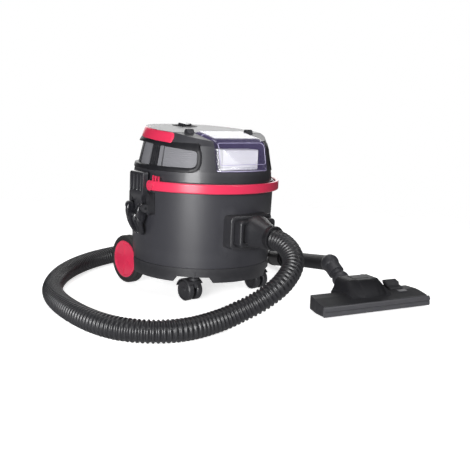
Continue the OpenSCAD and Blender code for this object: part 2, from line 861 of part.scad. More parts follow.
// Cheeks that hold the rollers' pins, from under the roof down
module roller_cheeks() {
    intersection() {
        at_rollers() for (s = [-1, 1]) {
            translate([s * (roller_l / 2 + gap + 1.5) - 1.5, -5, -roller_r + 1.5]) cube([3, 10, 60]);
        }
        union() {
            intersection() {
                linear_extrude(height = 60) tool_plan(1);
                tool_roof(1);
            }
            tool_hump(1);
            linear_extrude(height = tool_gap + 4) tool_plan(1);
        }
    }
}

// Hollow housing with its hump
module tool_shell() {
    difference() {
        intersection() {
            linear_extrude(height = 60) tool_plan(0);
            tool_roof(0);
        }
        intersection() {
            translate([0, 0, tool_gap]) linear_extrude(height = 60) tool_plan(3);
            translate([0, 0, -1]) tool_roof(2);
        }
    }
    difference() {
        tool_hump(0);
        tool_hump(3);
    }
}

// Room for the neck's barrel and for the neck as it swings up
module neck_slot() {
    rise = 22;
    depth = 17;
    translate([-19.6, pivot_y, pivot_z]) {
        bar_x(0, 39.2, 18.5);
        rotate([90, 0, 90]) linear_extrude(height = 39.2) polygon([
            [0, -depth], [60, -depth - 4], [60, 60 * tan(rise) + depth / cos(rise)], [-depth * sin(rise), depth * cos(rise)]
        ]);
    }
}

// Sole plate with the suction slot, slots for the brush strips and roller bays
module tool_sole() {
    color(charcoal) at_tool() difference() {
        translate([0, 0, tool_gap]) linear_extrude(height = 3 - seat) difference() {
            tool_plan(0.4);
            translate([-tool_w / 2 + 24, 22]) square([tool_w - 48, 16]);
            for (y = [brush_front_y, brush_rear_y]) {
                translate([-brush_l / 2 - gap, y - gap]) square([brush_l + 2 * gap, brush_t + 2 * gap]);
            }
        }
        at_rollers() bar_x(-roller_l / 2 - 4, roller_l / 2 + 4, roller_r + 1);
    }
}

module tool_bumper() {
    color(grey) at_tool() translate([-tool_w / 2 - 1, -6, tool_gap]) rotate([90, 0, 90]) {
        linear_extrude(height = tool_w + 2) offset(r = 1) offset(delta = -1) polygon([
            [6 - seat, 0], [1, 0], [0, 3], [0, 8], [2, 10], [0, 12], [0, 17], [2, 19],
            [3, tool_front_h - tool_gap - 1], [6 - seat, tool_front_h - tool_gap]
        ]);
    }
}

brush_l = 226;
brush_t = 5;
brush_front_y = 10;
brush_rear_y = 46;
brush_travel = 5;

// Two bristle strips on one carrier that slides up and down
module tool_brushes() {
    color(black) at_tool() {
        for (y = [brush_front_y, brush_rear_y]) {
            translate([-brush_l / 2, y, 0.2]) cube([brush_l, brush_t, 14]);
        }
        translate([-brush_l / 2 + 6, brush_front_y, 14 + 0.2]) cube([brush_l - 12, brush_rear_y + brush_t - brush_front_y, 2]);
    }
}

roller_r = 6;
roller_l = 22;
roller_pin_r = 2;
roller_x = 54;

module at_rollers() {
    for (x = [-roller_x, roller_x]) {
        translate([x, 74, roller_r]) children();
    }
}

module tool_rollers() {
    color(grey) at_tool() at_rollers() {
        bar_x(-roller_l / 2, roller_l / 2, roller_r);
        bar_x(-roller_l / 2 - 3, roller_l / 2 + 3, roller_pin_r);
    }
}

pedal_x = 92;
pedal_w = 36;
pedal_pin_y = 66;
pedal_pin_z = tool_front_h + 4;
pedal_pin_r = 2.5;

// Rocking pedal with a step
module tool_pedal() {
    color(black) at_tool() difference() {
        union() {
            translate([pedal_x - pedal_w / 2, 0, 0]) rotate([90, 0, 90]) linear_extrude(height = pedal_w) polygon([
                [48, 33], [50, 36], [62, 39], [64, 45], [77, 49], [80, 46], [74, 38], [70, 31], [62, 31], [60, 33]
            ]);
            translate([pedal_x, pedal_pin_y, pedal_pin_z]) bar_x(-pedal_w / 2, pedal_w / 2, 5);
        }
        translate([pedal_x, pedal_pin_y, pedal_pin_z]) bar_x(-far, far, pedal_pin_r + run);
    }
}

// ---------- latches ----------

latch_pivot_r = drum_r + 13;
link_off = [-2.3, -8.7];
latch_pin_r = 3;
link_pin_r = 2.5;
ear_in = 28;

module latch_place() {
    at_az(latch_az) children();
}

// Plate on the drum with a raised strip and an ear at each side, at the right
module latch_bracket() {
    color(black) difference() {
        union() {
            arc(latch_az, asin(latch_half / drum_r)) polygon([
                [drum_r - 6, latch_z - 14], [drum_rad(latch_z - 14) + 3, latch_z - 14],
                [drum_rad(latch_z + 35) + 3, latch_z + 35], [drum_r - 6, latch_z + 35]
            ]);
            latch_place() for (s = [-1, 1]) {
                hull() for (z = [-8, 28]) {
                    translate([drum_r - 8, s * (latch_half + ear_in) / 2, latch_z + z]) rotate([0, 90, 0]) {
                        cylinder(r = (latch_half - ear_in) / 2 - 1, h = 16, $fn = 32);
                    }
                }
                translate([latch_pivot_r, s > 0 ? ear_in : -ear_in - 8, latch_z]) bar_y(0, 8, 9);
            }
        }
        drum_cutter(seat);
        latch_place() translate([latch_pivot_r, 0, latch_z]) bar_y(-60, 60, latch_pin_r);
    }
}

// Short pins that join the bracket's ears to the lever's cheeks
module latch_pins() {
    color(steel) both_sides() latch_place() translate([latch_pivot_r, 0, latch_z]) {
        bar_y(-ear_in - 8, -19, latch_pin_r);
        bar_y(19, ear_in + 8, latch_pin_r);
    }
}

// Lever: two cheeks round the pins, a web below them with four fingers, and the link's pin
module latch_lever() {
    color(black) latch_place() difference() {
        union() {
            for (y = [-27, 18]) {
                translate([latch_pivot_r, y, latch_z]) bar_y(0, 9, 10);
                translate([latch_pivot_r - 2, y, latch_z - 20]) cube([9, 9, 16]);
            }
            translate([latch_pivot_r - 2, -latch_half + 1, latch_z - 24]) cube([9, 2 * latch_half - 2, 8]);
            for (y = [-34, -13, 13, 34]) {
                hull() {
                    translate([latch_pivot_r - 2, y, latch_z - 24]) rotate([0, 90, 0]) cylinder(r = 8.5, h = 9, $fn = 32);
                    translate([latch_pivot_r - 6, y, latch_z - 45]) rotate([0, 90, 0]) cylinder(r = 6.5, h = 6, $fn = 32);
                }
            }
            translate([latch_pivot_r + link_off.x, 0, latch_z + link_off.y]) bar_y(-22, 22, link_pin_r);
        }
        translate([latch_pivot_r, 0, latch_z]) bar_y(-60, -18, latch_pin_r + run);
        translate([latch_pivot_r, 0, latch_z]) bar_y(18, 60, latch_pin_r + run);
        for (s = [-1, 1]) {
            translate([latch_pivot_r, s > 0 ? ear_in - gap : -latch_half - gap, latch_z]) {
                bar_y(0, latch_half - ear_in + 2 * gap, 10);
            }
        }
    }
}

// Link with the ribbed block that bears on the head
module latch_hook() {
    block_lo = bail_z - 11;
    block_hi = rim_z + 14;
    back = drum_r + rim_proud + 0.6;
    color(black) latch_place() difference() {
        union() {
            translate([latch_pivot_r + link_off.x, 0, latch_z + link_off.y]) bar_y(-17, 17, 5);
            translate([back, -17, latch_z + link_off.y]) cube([4, 34, block_lo - latch_z - link_off.y + 2]);
            translate([back, -latch_half_w, block_lo]) cube([15, 2 * latch_half_w, block_hi - block_lo]);
            for (y = [-12, 0, 12]) {
                translate([back + 9, y - 2, block_lo + 3]) cube([7, 4, block_hi - block_lo - 6]);
            }
            translate([head_foot_r + 0.4, -16, rim_z + 3]) cube([6, 32, 8]);
        }
        translate([latch_pivot_r + link_off.x, 0, latch_z + link_off.y]) bar_y(-far, far, link_pin_r + run);
        cylinder(r = head_foot_r + 0.4, h = far);
        cylinder(r = back, h = rim_z + 0.4);
        translate([back + 13, -latch_half_w + 3, block_lo + 3]) cube([20, 2 * latch_half_w - 6, 1]);
    }
}

// ---------- head ----------

motor_hole_r = 28;

module head_base() {
    color(charcoal) difference() {
        union() {
            rotate_extrude() polygon([
                [motor_hole_r, deck_z], [drum_r - drum_wall - 6, deck_z], [drum_r - drum_wall - 6, rim_z - 8],
                [drum_r - drum_wall - gap, rim_z - 8], [drum_r - drum_wall - gap, rim_z + 0.4],
                [head_foot_r, rim_z + 0.4], [head_foot_r, rim_z + 3], [head_rad(rim_z + 3.6), rim_z + 3.6],
                [head_rad(head_split_z), head_split_z],
                [head_rad(head_split_z) - head_wall, head_split_z],
                [head_rad(deck_z) - head_wall - 1, deck_z + deck_t + 2], [head_rad(deck_z) - head_wall - 4, deck_z + deck_t], [motor_hole_r, deck_z + deck_t]
            ]);
            difference() {
                translate([0, 0, deck_z - 14]) cylinder(r = cage_r + 6, h = 14 + nip);
                translate([0, 0, deck_z - 15]) cylinder(r = cage_r + 0.3, h = 16);
            }
            difference() {
                translate([0, 0, deck_z + deck_t - nip]) cylinder(r = motor_r + 4, h = 10);
                translate([0, 0, deck_z]) cylinder(r = motor_r + seat, h = 40);
            }
            screw_posts() cylinder(r = 6, h = head_split_z + 20 - deck_z - deck_t);
        }
        screw_posts() translate([0, 0, -10]) cylinder(r = 1.8, h = 60);
        seal_ring(nip);
        translate([0, 0, deck_z - 1]) cylinder(r = motor_hole_r, h = 10);
    }
}

gland_r = 8;
motor_r = 52;
cage_r = 34;
gland_z = head_split_z + 16;
gland_y = head_rad(gland_z);
seal_out_r = drum_r - drum_wall - 0.3;
seal_in_r = seal_out_r - 2.2;
seal_z = rim_z - 6;
seal_h = 3;

module screw_posts() {
    for (a = [45:90:315]) {
        rotate([0, 0, a]) translate([122, 0, deck_z + deck_t - nip]) children();
    }
}

// Ring in a groove round the head's spigot
module rim_seal() {
    color(black) seal_ring(0);
}

module seal_ring(grow) {
    rotate_extrude() polygon([
        [seal_in_r - grow, seal_z - grow], [seal_out_r + grow, seal_z - grow],
        [seal_out_r + grow, seal_z + seal_h + grow], [seal_in_r - grow, seal_z + seal_h + grow]
    ]);
}

// Outer form of the upper shell, made smaller by a wall
module shell_form(inset) {
    low = head_split_z - abs(inset) * 4;
    intersection() {
        rotate_extrude() polygon(concat(
            [[0, low]],
            [for (z = [low, head_split_z + nip, head_top_z - 38]) [head_rad(z) - inset, z]],
            [for (a = [0:15:90]) [
                head_rad(head_top_z - 12) - 12 - inset + 12 * cos(a), head_top_z - 12 - inset + 12 * sin(a)]],
            [[0, head_top_z - inset]]
        ));
        under_top(-inset);
        under_front(-inset);
    }
}

bay_half_w = cover_half_w - cover_wall - 1;
bay_floor_z = head_split_z + 3;
bay_back_y = hinge_y - 4;

// Space in front of the head for the exhaust filter, or its walls when grown
module bay(grow) {
    translate([-bay_half_w - grow, -far, bay_floor_z - grow]) {
        cube([2 * (bay_half_w + grow), far + bay_back_y + grow, far]);
    }
}

// Window of a side recess at the right
module recess_window(half, lo, hi) {
    arc(side_az, half) translate([60, lo]) square([140, hi - lo]);
}

module head_shell() {
    color(black) difference() {
        union() {
            difference() {
                shell_form(0);
                shell_form(head_wall);
                both_sides() recess_window(recess_half, recess_lo, recess_hi);
            }
            difference() {
                intersection() {
                    shell_form(0.01);
                    bay(2.5);
                }
                bay(0);
            }
            both_sides() hinge_knob();
            intersection() {
                shell_form(1);
                union() {
                    both_sides() screw_tower();
                    translate([0, 0, gland_z]) bar_y(gland_y - 10, gland_y + 10, gland_r + 4);
                }
            }
        }
        translate([0, 0, gland_z]) bar_y(gland_y - 20, far, gland_r);
        bay(0);
        translate([0, hinge_y, hinge_z + 2]) bar_x(-far, far, hinge_pin_r + run);
        both_sides() translate([-cover_half_w - gap, hinge_y - 8, hinge_z - 6]) cube([5 + 2 * gap, 14.5, 30]);
        screw_posts() translate([0, 0, -1]) cylinder(r = 2.4, h = head_split_z + 22 - deck_z);
        at_switch() translate([-22, -12, -20]) cube([44, 24, 40]);
    }
}

hinge_pin_r = 3;

// Knob that holds one end of the cover's hinge, at the left
module hinge_knob() {
    translate([0, hinge_y, hinge_z + 2]) hull() {
        bar_x(-cover_half_w - 18, -cover_half_w - gap, 6);
        translate([0, 0, -8]) bar_x(-cover_half_w - 18, -cover_half_w - gap, 8);
    }
}

// Towers under the shell that take the head's screws, at the right
module screw_tower() {
    for (a = [45, -45]) {
        rotate([0, 0, a]) translate([122, 0, head_split_z + 20.4]) difference() {
            cylinder(r = 6, h = head_top_z - head_split_z);
            translate([0, 0, -1]) cylinder(r = 2.4, h = 20);
        }
    }
}

module head_screws() {
    color(steel) screw_posts() {
        translate([0, 0, -deck_t - 2.6]) cylinder(r = 4, h = 2.6 - nip);
        translate([0, 0, -deck_t - 1]) cylinder(r = 1.8, h = head_split_z + 32 - deck_z);
    }
}

// Upright bar of a side recess between two angles and two depths, at the right
module vent_bar(az0, az1, lo, hi, d0, d1) {
    arc((az0 + az1) / 2, (az1 - az0) / 2) polygon([
        [head_rad(lo) - d0, lo], [head_rad(lo) - d1, lo], [head_rad(hi) - d1, hi], [head_rad(hi) - d0, hi]
    ]);
}

// Tray behind a side recess, with a plain panel, two columns and louvres, at the right
module vent_panel() {
    az0 = side_az - recess_half;
    az1 = side_az + recess_half;
    d = recess_depth;
    color(grey) difference() {
        union() {
            difference() {
                vent_bar(az0 - 2, az1 + 2, recess_lo - 3, recess_hi + 3, d + 3, head_wall + seat);
                vent_bar(az0, az1, recess_lo, recess_hi, d, -9);
            }
            vent_bar(az0 + 2, 76.7, recess_lo - 1, recess_hi - 7, d + 1, d - 4);
            vent_bar(78.5, 81, recess_lo - 1, recess_hi + 1, d + 1, d - 6);
            vent_bar(93.5, 109, recess_lo - 1, recess_hi + 1, d + 1, d - 6);
            vent_bar(134, 137, recess_lo - 1, recess_hi + 1, d + 1, d - 6);
        }
        for (a = [83, 86, 89, 92, 112, 116, 120, 124, 128, 132]) {
            at_az(a) translate([0, -1, recess_lo + 7]) cube([far, 2, recess_hi - recess_lo - 14]);
        }
    }
}

// Red grip over a side recess, raised above the edge of the top, at the right
module side_grip() {
    lo = recess_hi + 5;
    hi = head_top_z - 2;
    r = head_rad(lo) + 0.5;
    color(red) difference() {
        union() {
            arc(side_az - 2, 29) polygon([
                [r, lo], [r + 1.2, lo + 1.2], [r - 1, hi - 6], [r - 3, hi - 2], [r - 6, hi], [r - 20, hi], [r - 20, lo]
            ]);
        }
        shell_form(-seat);
    }
}

module motor_body() {
    color(steel) difference() {
        union() {
            translate([0, 0, deck_z + deck_t + 14]) cylinder(r = motor_r - 12, h = motor_h);
            translate([0, 0, deck_z + deck_t + seat]) cylinder(r = motor_r, h = 18);
        }
        translate([0, 0, deck_z + deck_t - 1]) cylinder(r = motor_r - 4, h = 17);
        translate([0, 0, deck_z]) cylinder(r = shaft_r + run, h = motor_h + 8);
        for (a = [0:45:315]) {
            rotate([0, 0, a]) translate([motor_r - 17, 0, deck_z + motor_h - 2]) cube([12, 8, 12], center = true);
        }
    }
}

shaft_r = 5;

// Shaft and fan with eight blades between two discs
module motor_fan() {
    z0 = deck_z + deck_t + 2;
    color(steel) {
        translate([0, 0, z0]) difference() {
            cylinder(r = motor_r - 7, h = 1.5);
            translate([0, 0, -1]) cylinder(r = 16, h = 4);
        }
        translate([0, 0, z0 + 9]) cylinder(r = motor_r - 7, h = 1.5);
        for (a = [0:45:315]) {
            rotate([0, 0, a]) translate([19, 0, z0 + 1]) rotate([0, 0, 25]) cube([24, 1.5, 8.5]);
        }
        translate([0, 0, z0 + 8]) cylinder(r = shaft_r, h = motor_h - 8);
    }
}

// Open cage under the deck that guides the float
module float_cage() {
    h = 58;
    color(black) translate([0, 0, deck_z - h]) difference() {
        cylinder(r = cage_r, h = h - seat);
        translate([0, 0, 3]) cylinder(r = cage_r - 3, h = h);
        for (a = [0:45:315]) {
            rotate([0, 0, a]) translate([0, -9, 8]) cube([far, 18, h - 22]);
        }
        translate([0, 0, -1]) cylinder(r = 14, h = 8);
    }
}

module float_ball() {
    color(grey) translate([0, 0, deck_z - 58 + 3 + 18 + 0.1]) intersection() {
        sphere(r = cage_r - 3.6);
        cube([80, 80, 36], center = true);
    }
}

cart_r = 72;
cart_in_r = 52;
cart_lo = 176;
cart_hi = deck_z - seat;
pleats = 40;

// Pleated paper ring between two end rings
module cartridge_filter() {
    color([0.86, 0.84, 0.78]) {
        difference() {
            translate([0, 0, cart_lo + 6]) linear_extrude(height = cart_hi - cart_lo - 12) {
                difference() {
                    polygon([for (i = [0:2 * pleats - 1]) let (r = i % 2 == 0 ? cart_r - 2 : cart_r - 9)
                        r * [cos(180 * i / pleats), sin(180 * i / pleats)]]);
                    circle(r = cart_in_r + 4);
                }
            }
        }
        for (z = [cart_lo, cart_hi - 8]) {
            translate([0, 0, z]) difference() {
                cylinder(r = cart_r, h = 8);
                translate([0, 0, -1]) cylinder(r = cart_in_r, h = 10);
            }
        }
    }
}

// Plate and knob that hold the cartridge, on a post from the float cage
module filter_retainer() {
    color(black) {
        translate([0, 0, cart_lo - 5]) cylinder(r = cart_r - 8, h = 5 - nip);
        translate([0, 0, cart_lo - 22]) cylinder(r = 16, h = 18, $fn = 10);
        translate([0, 0, cart_lo - 1]) cylinder(r = 9, h = deck_z - 58 - cart_lo + 1 - seat);
    }
}

// Bush for a mains lead, at the back
module cable_gland() {
    color(black) translate([0, 0, gland_z]) difference() {
        union() {
            bar_y(gland_y - 12, gland_y + 3, gland_r - nip);
            bar_y(gland_y + 2.7, gland_y + 6, gland_r + 3);
            bar_y(gland_y + 4, gland_y + 16, 7);
        }
        bar_y(gland_y - 30, far, 4);
    }
}

// ---------- switch ----------

switch_y = 76;

// Frame on the sloping top, at the switch
module at_switch() {
    rise = (switch_y - hinge_y) * tan(top_slope);
    translate([0, switch_y, hinge_z + rise]) rotate([top_slope, 0, 0]) children();
}

module switch_bezel() {
    color(black) at_switch() difference() {
        union() {
            translate([0, 0, seat]) linear_extrude(height = 3) round_rect(104, 34, 8);
            translate([0, 0, -12]) linear_extrude(height = 13) round_rect(43, 23, 2);
        }
        translate([-14.4, -9.4, -10]) cube([28.8, 18.8, 30]);
        bar_y(-10.6, 10.6, 1.5 + run);
    }
}

// Rocker with a hollow top, on two short pins
module switch_rocker() {
    color(red) at_switch() {
        rotate([90, 0, 0]) translate([0, 0, -8.8]) linear_extrude(height = 17.6) difference() {
            polygon([[-13.5, 4], [-12, 6.5], [12, 6.5], [13.5, 4], [12.5, -3], [-12.5, -3]]);
            translate([0, 44.5]) circle(r = 40);
        }
        bar_y(-10.4, 10.4, 1.5);
    }
}

// ---------- cover and exhaust filter ----------

// Solid form of the cover, made smaller by its wall and open at the back and below when inset
module cover_form(inset) {
    intersection() {
        translate([-cover_half_w + inset, -far, head_split_z + 1 - inset * 2]) {
            cube([2 * (cover_half_w - inset), far + bay_back_y + inset * 2, 200]);
        }
        rotate_extrude() polygon([
            [0, head_split_z - 30], [head_rad(head_split_z) + 4 - inset, head_split_z - 30],
            [head_rad(head_split_z) + 3 - inset, head_split_z - 3], [head_rad(nose_z) + 5 - inset, nose_z],
            [head_rad(nose_z) + 2 - inset, head_top_z], [0, head_top_z]
        ]);
        under_front(2 - inset);
        under_nose(-inset);
    }
}

module filter_cover() {
    color(clear) difference() {
        union() {
            difference() {
                cover_form(0);
                cover_form(cover_wall);
                difference() {
                    shell_form(-gap);
                    bay(-gap);
                }
            }
            both_sides() translate([0, hinge_y, hinge_z + 2]) difference() {
                hull() {
                    bar_x(-cover_half_w, -cover_half_w + 5, 4.8);
                    translate([0, -8, 0.2]) bar_x(-cover_half_w, -cover_half_w + 5, 1.6);
                }
            }
            both_sides() translate([0, hinge_y, hinge_z + 2]) bar_x(-cover_half_w - 12, -cover_half_w + 2, hinge_pin_r);
            translate([0, -head_rad(head_split_z) - 1, head_split_z + 3]) intersection() {
                cylinder(r = 8, h = 3);
                translate([-10, -12, 0]) cube([20, 12, 4]);
            }
        }
    }
}

exhaust_y = nose_y + 22;

// Pleated roll lying across the bay, with a cap at each end
module exhaust_filter() {
    color([0.92, 0.91, 0.93]) translate([0, exhaust_y, bay_floor_z + exhaust_r + 3]) {
        rotate([0, 90, 0]) linear_extrude(height = exhaust_l - 8, center = true) difference() {
            polygon([for (i = [0:55]) let (r = i % 2 == 0 ? exhaust_r - 1 : exhaust_r - 4)
                r * [cos(360 * i / 56), sin(360 * i / 56)]]);
            circle(r = exhaust_r - 9);
        }
        for (s = [-1, 1]) {
            translate([s * (exhaust_l / 2 - 3), 0, 0]) bar_x(-3, 3, exhaust_r);
            translate([s * (exhaust_l / 2 - 3) - 3, -8, -exhaust_r - 3 + seat]) cube([6, 16, 12]);
        }
    }
}

// ---------- nodes ----------

// Puts the origin halfway between the neck's front and the back of the rear wheels
module placed() {
    translate([0, (connector_y - axle_y - wheel_r) / 2, 0]) children();
}

placed() drum();
placed() base_tray();
placed() rear_axle();
placed() axle_washers();
placed() inlet_flange();
placed() inlet_gasket();
placed() inlet_screws();
placed() inlet_deflector();
placed() mirror([1, 0, 0]) latch_bracket();  // latch_bracket_left
placed() latch_bracket();  // latch_bracket_right
placed() latch_pins();
placed() bail_pins();
placed() hose_connector();
placed() hose();
placed() hose_cuff();
placed() hand_tube();
placed() tube_elbow();
placed() tyre();  // tyre_left
placed() rim();  // rim_left
placed() hub_cap();  // hub_cap_left
placed() mirror([1, 0, 0]) tyre();  // tyre_right
placed() mirror([1, 0, 0]) rim();  // rim_right
placed() mirror([1, 0, 0]) hub_cap();  // hub_cap_right
placed() mirror([1, 0, 0]) caster_fork();  // caster_fork_left
placed() mirror([1, 0, 0]) caster_axle();  // caster_axle_left
placed() mirror([1, 0, 0]) caster_wheels();  // caster_wheels_left
placed() caster_fork();  // caster_fork_right
placed() caster_axle();  // caster_axle_right
placed() caster_wheels();  // caster_wheels_right
placed() bail_handle();
placed() mirror([1, 0, 0]) latch_lever();  // latch_lever_left
placed() mirror([1, 0, 0]) latch_hook();  // latch_hook_left
placed() latch_lever();  // latch_lever_right
placed() latch_hook();  // latch_hook_right
placed() head_base();
placed() rim_seal();
placed() head_shell();
placed() mirror([1, 0, 0]) vent_panel();  // vent_panel_left
placed() vent_panel();  // vent_panel_right
placed() mirror([1, 0, 0]) side_grip();  // side_grip_left
placed() side_grip();  // side_grip_right
placed() motor_body();
placed() float_cage();
placed() cartridge_filter();
placed() filter_retainer();
placed() cable_gland();
placed() head_screws();
placed() exhaust_filter();
placed() switch_bezel();
placed() filter_cover();
placed() switch_rocker();
placed() motor_fan();
placed() float_ball();
placed() tool_neck();
placed() tool_body();
placed() tool_sole();
placed() tool_bumper();
placed() tool_pedal();
placed() tool_brushes();
placed() tool_rollers();
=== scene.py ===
"""Drum vacuum cleaner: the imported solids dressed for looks.

It adds a ribbed hose, a clear filter cover, a pleated filter, an inlet housing, vent panels and latches.
"""

from __future__ import annotations

import json
import logging
import math
from collections.abc import Iterable, Sequence
from dataclasses import dataclass, field
from enum import Enum
from typing import ClassVar

import bmesh
import bpy
from mathutils import Matrix, Vector

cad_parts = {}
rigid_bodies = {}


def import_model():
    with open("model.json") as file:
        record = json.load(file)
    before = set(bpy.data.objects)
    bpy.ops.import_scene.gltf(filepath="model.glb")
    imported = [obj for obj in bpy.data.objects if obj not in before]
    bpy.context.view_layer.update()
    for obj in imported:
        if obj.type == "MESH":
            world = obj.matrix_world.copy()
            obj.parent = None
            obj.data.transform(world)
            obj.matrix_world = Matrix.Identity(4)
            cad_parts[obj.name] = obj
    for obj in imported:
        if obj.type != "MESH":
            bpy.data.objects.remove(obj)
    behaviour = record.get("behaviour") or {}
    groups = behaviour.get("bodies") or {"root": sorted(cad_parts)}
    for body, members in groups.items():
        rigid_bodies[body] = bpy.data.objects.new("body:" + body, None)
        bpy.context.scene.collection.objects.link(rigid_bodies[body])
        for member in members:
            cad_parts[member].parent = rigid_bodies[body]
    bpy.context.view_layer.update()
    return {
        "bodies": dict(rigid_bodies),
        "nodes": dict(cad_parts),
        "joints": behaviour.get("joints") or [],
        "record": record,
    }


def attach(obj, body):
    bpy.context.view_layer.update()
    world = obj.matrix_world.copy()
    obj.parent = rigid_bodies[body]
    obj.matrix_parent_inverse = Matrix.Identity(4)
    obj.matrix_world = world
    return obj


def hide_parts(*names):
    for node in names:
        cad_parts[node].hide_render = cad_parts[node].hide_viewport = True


log = logging.getLogger("drum_cleaner")

MM = 0.001
AXIS_Y = 19 * MM  # the drum's axis, behind the frame's origin


# ---------------------------------------------------------------- shared mesh helpers


def at(x: float, y: float, z: float) -> Vector:
    """Point given in millimetres from the drum's axis, in the row frame's metres."""
    return Vector((x * MM, y * MM + AXIS_Y, z * MM))


def turn(n: int) -> list[tuple[float, float]]:
    """Cosine and sine of n equal steps round a circle."""
    return [(math.cos(math.tau * k / n), math.sin(math.tau * k / n)) for k in range(n)]


def between(steps: Sequence[tuple[float, float]], x: float) -> float:
    """Value at a place on straight lines through pairs, held after the last.

    Args:
        steps: Pairs of place and value, in rising order of place.
        x: The place.

    Returns:
        The value there.
    """
    for (x0, y0), (x1, y1) in zip(steps, steps[1:]):
        if x <= x1:
            return y0 + (y1 - y0) * (x - x0) / (x1 - x0)
    return steps[-1][1]


def mesh_piece(name: str, verts: Sequence[Sequence[float]], faces: Sequence[Sequence[int]],
               smooth_angle: float = 40.0) -> bpy.types.Object:
    """Makes a mesh object in the scene.

    Args:
        name: Name of the piece.
        verts: Points in metres, in the row frame.
        faces: Corners of each face.
        smooth_angle: Edges that turn by more than this many degrees stay sharp.

    Returns:
        The new object.
    """
    mesh = bpy.data.meshes.new(name)
    mesh.from_pydata([tuple(v) for v in verts], [], [tuple(f) for f in faces])
    mesh.validate()
    mesh.shade_smooth()
    mesh.set_sharp_from_angle(angle=math.radians(smooth_angle))
    piece = bpy.data.objects.new(name, mesh)
    bpy.context.scene.collection.objects.link(piece)
    return piece


def outward(piece: bpy.types.Object) -> bpy.types.Object:
    """Turns all faces of a closed piece outwards.

    Args:
        piece: The mesh object.

    Returns:
        The same object.
    """
    bm = bmesh.new()
    bm.from_mesh(piece.data)
    bmesh.ops.recalc_face_normals(bm, faces=bm.faces)
    bm.to_mesh(piece.data)
    bm.free()
    return piece


def rounded_rect(width: float, height: float, corner: float, steps: int = 5,
                 along: int = 1) -> list[tuple[float, float]]:
    """Outline of a rectangle with round corners, about its centre.

    Args:
        width: Its width.
        height: Its height.
        corner: Radius of its corners.
        steps: Pieces in each corner.
        along: Pieces in each straight side.

    Returns:
        Points in order round the outline.
    """
    half_w, half_h = width / 2 - corner, height / 2 - corner
    arcs = []
    for x, y, start in ((half_w, half_h, 0), (-half_w, half_h, 90),
                        (-half_w, -half_h, 180), (half_w, -half_h, 270)):
        arcs.append([(x + corner * math.cos(math.radians(start + 90 * k / steps)),
                      y + corner * math.sin(math.radians(start + 90 * k / steps))) for k in range(steps + 1)])
    out: list[tuple[float, float]] = []
    for i, arc in enumerate(arcs):
        out += arc
        (x0, y0), (x1, y1) = arc[-1], arcs[(i + 1) % 4][0]
        out += [(x0 + (x1 - x0) * k / along, y0 + (y1 - y0) * k / along) for k in range(1, along)]
    return out


def loft_all(name: str, shells: Iterable[Sequence[Sequence[Vector]]], smooth_angle: float = 40.0,
             capped: bool = True, around: bool = True) -> bpy.types.Object:
    """Joins rings of points into skins, and the skins into one piece.

    Args:
        name: Name of the piece.
        shells: For each skin its rings of points, each ring with as many points as the others.
        smooth_angle: Edges that turn by more than this many degrees stay sharp.
        capped: Whether the first and last ring of a skin are closed by a face.
        around: Whether each ring joins up with itself.

    Returns:
        The new object.
    """
    verts: list[Vector] = []
    faces: list[tuple[int, ...]] = []
    for rings in shells:
        first, n = len(verts), len(rings[0])
        verts += [p for ring in rings for p in ring]
        for i in range(len(rings) - 1):
            for k in range(n if around else n - 1):
                a, b = first + i * n + k, first + i * n + (k + 1) % n
                faces.append((a, b, b + n, a + n))
        if capped:
            faces += [tuple(reversed(range(first, first + n))), tuple(range(len(verts) - n, len(verts)))]
    piece = outward(mesh_piece(name, verts, faces, 180.0))
    piece.data.set_sharp_from_angle(angle=math.radians(smooth_angle))
    return piece


def loft(name: str, rings: Sequence[Sequence[Vector]], smooth_angle: float = 40.0, capped: bool = True,
         around: bool = True) -> bpy.types.Object:
    """Joins rings of points into one skin, as loft_all does."""
    return loft_all(name, [rings], smooth_angle, capped, around)


# ---------------------------------------------------------------- shader node groups


class Effect(Enum):
    """Surface effects that several finishes share."""

    GRAIN = "moulded_grain"
    EDGE_WEAR = "edge_wear"
    DUST = "settled_dust"
    SMUDGE = "handling_smudge"


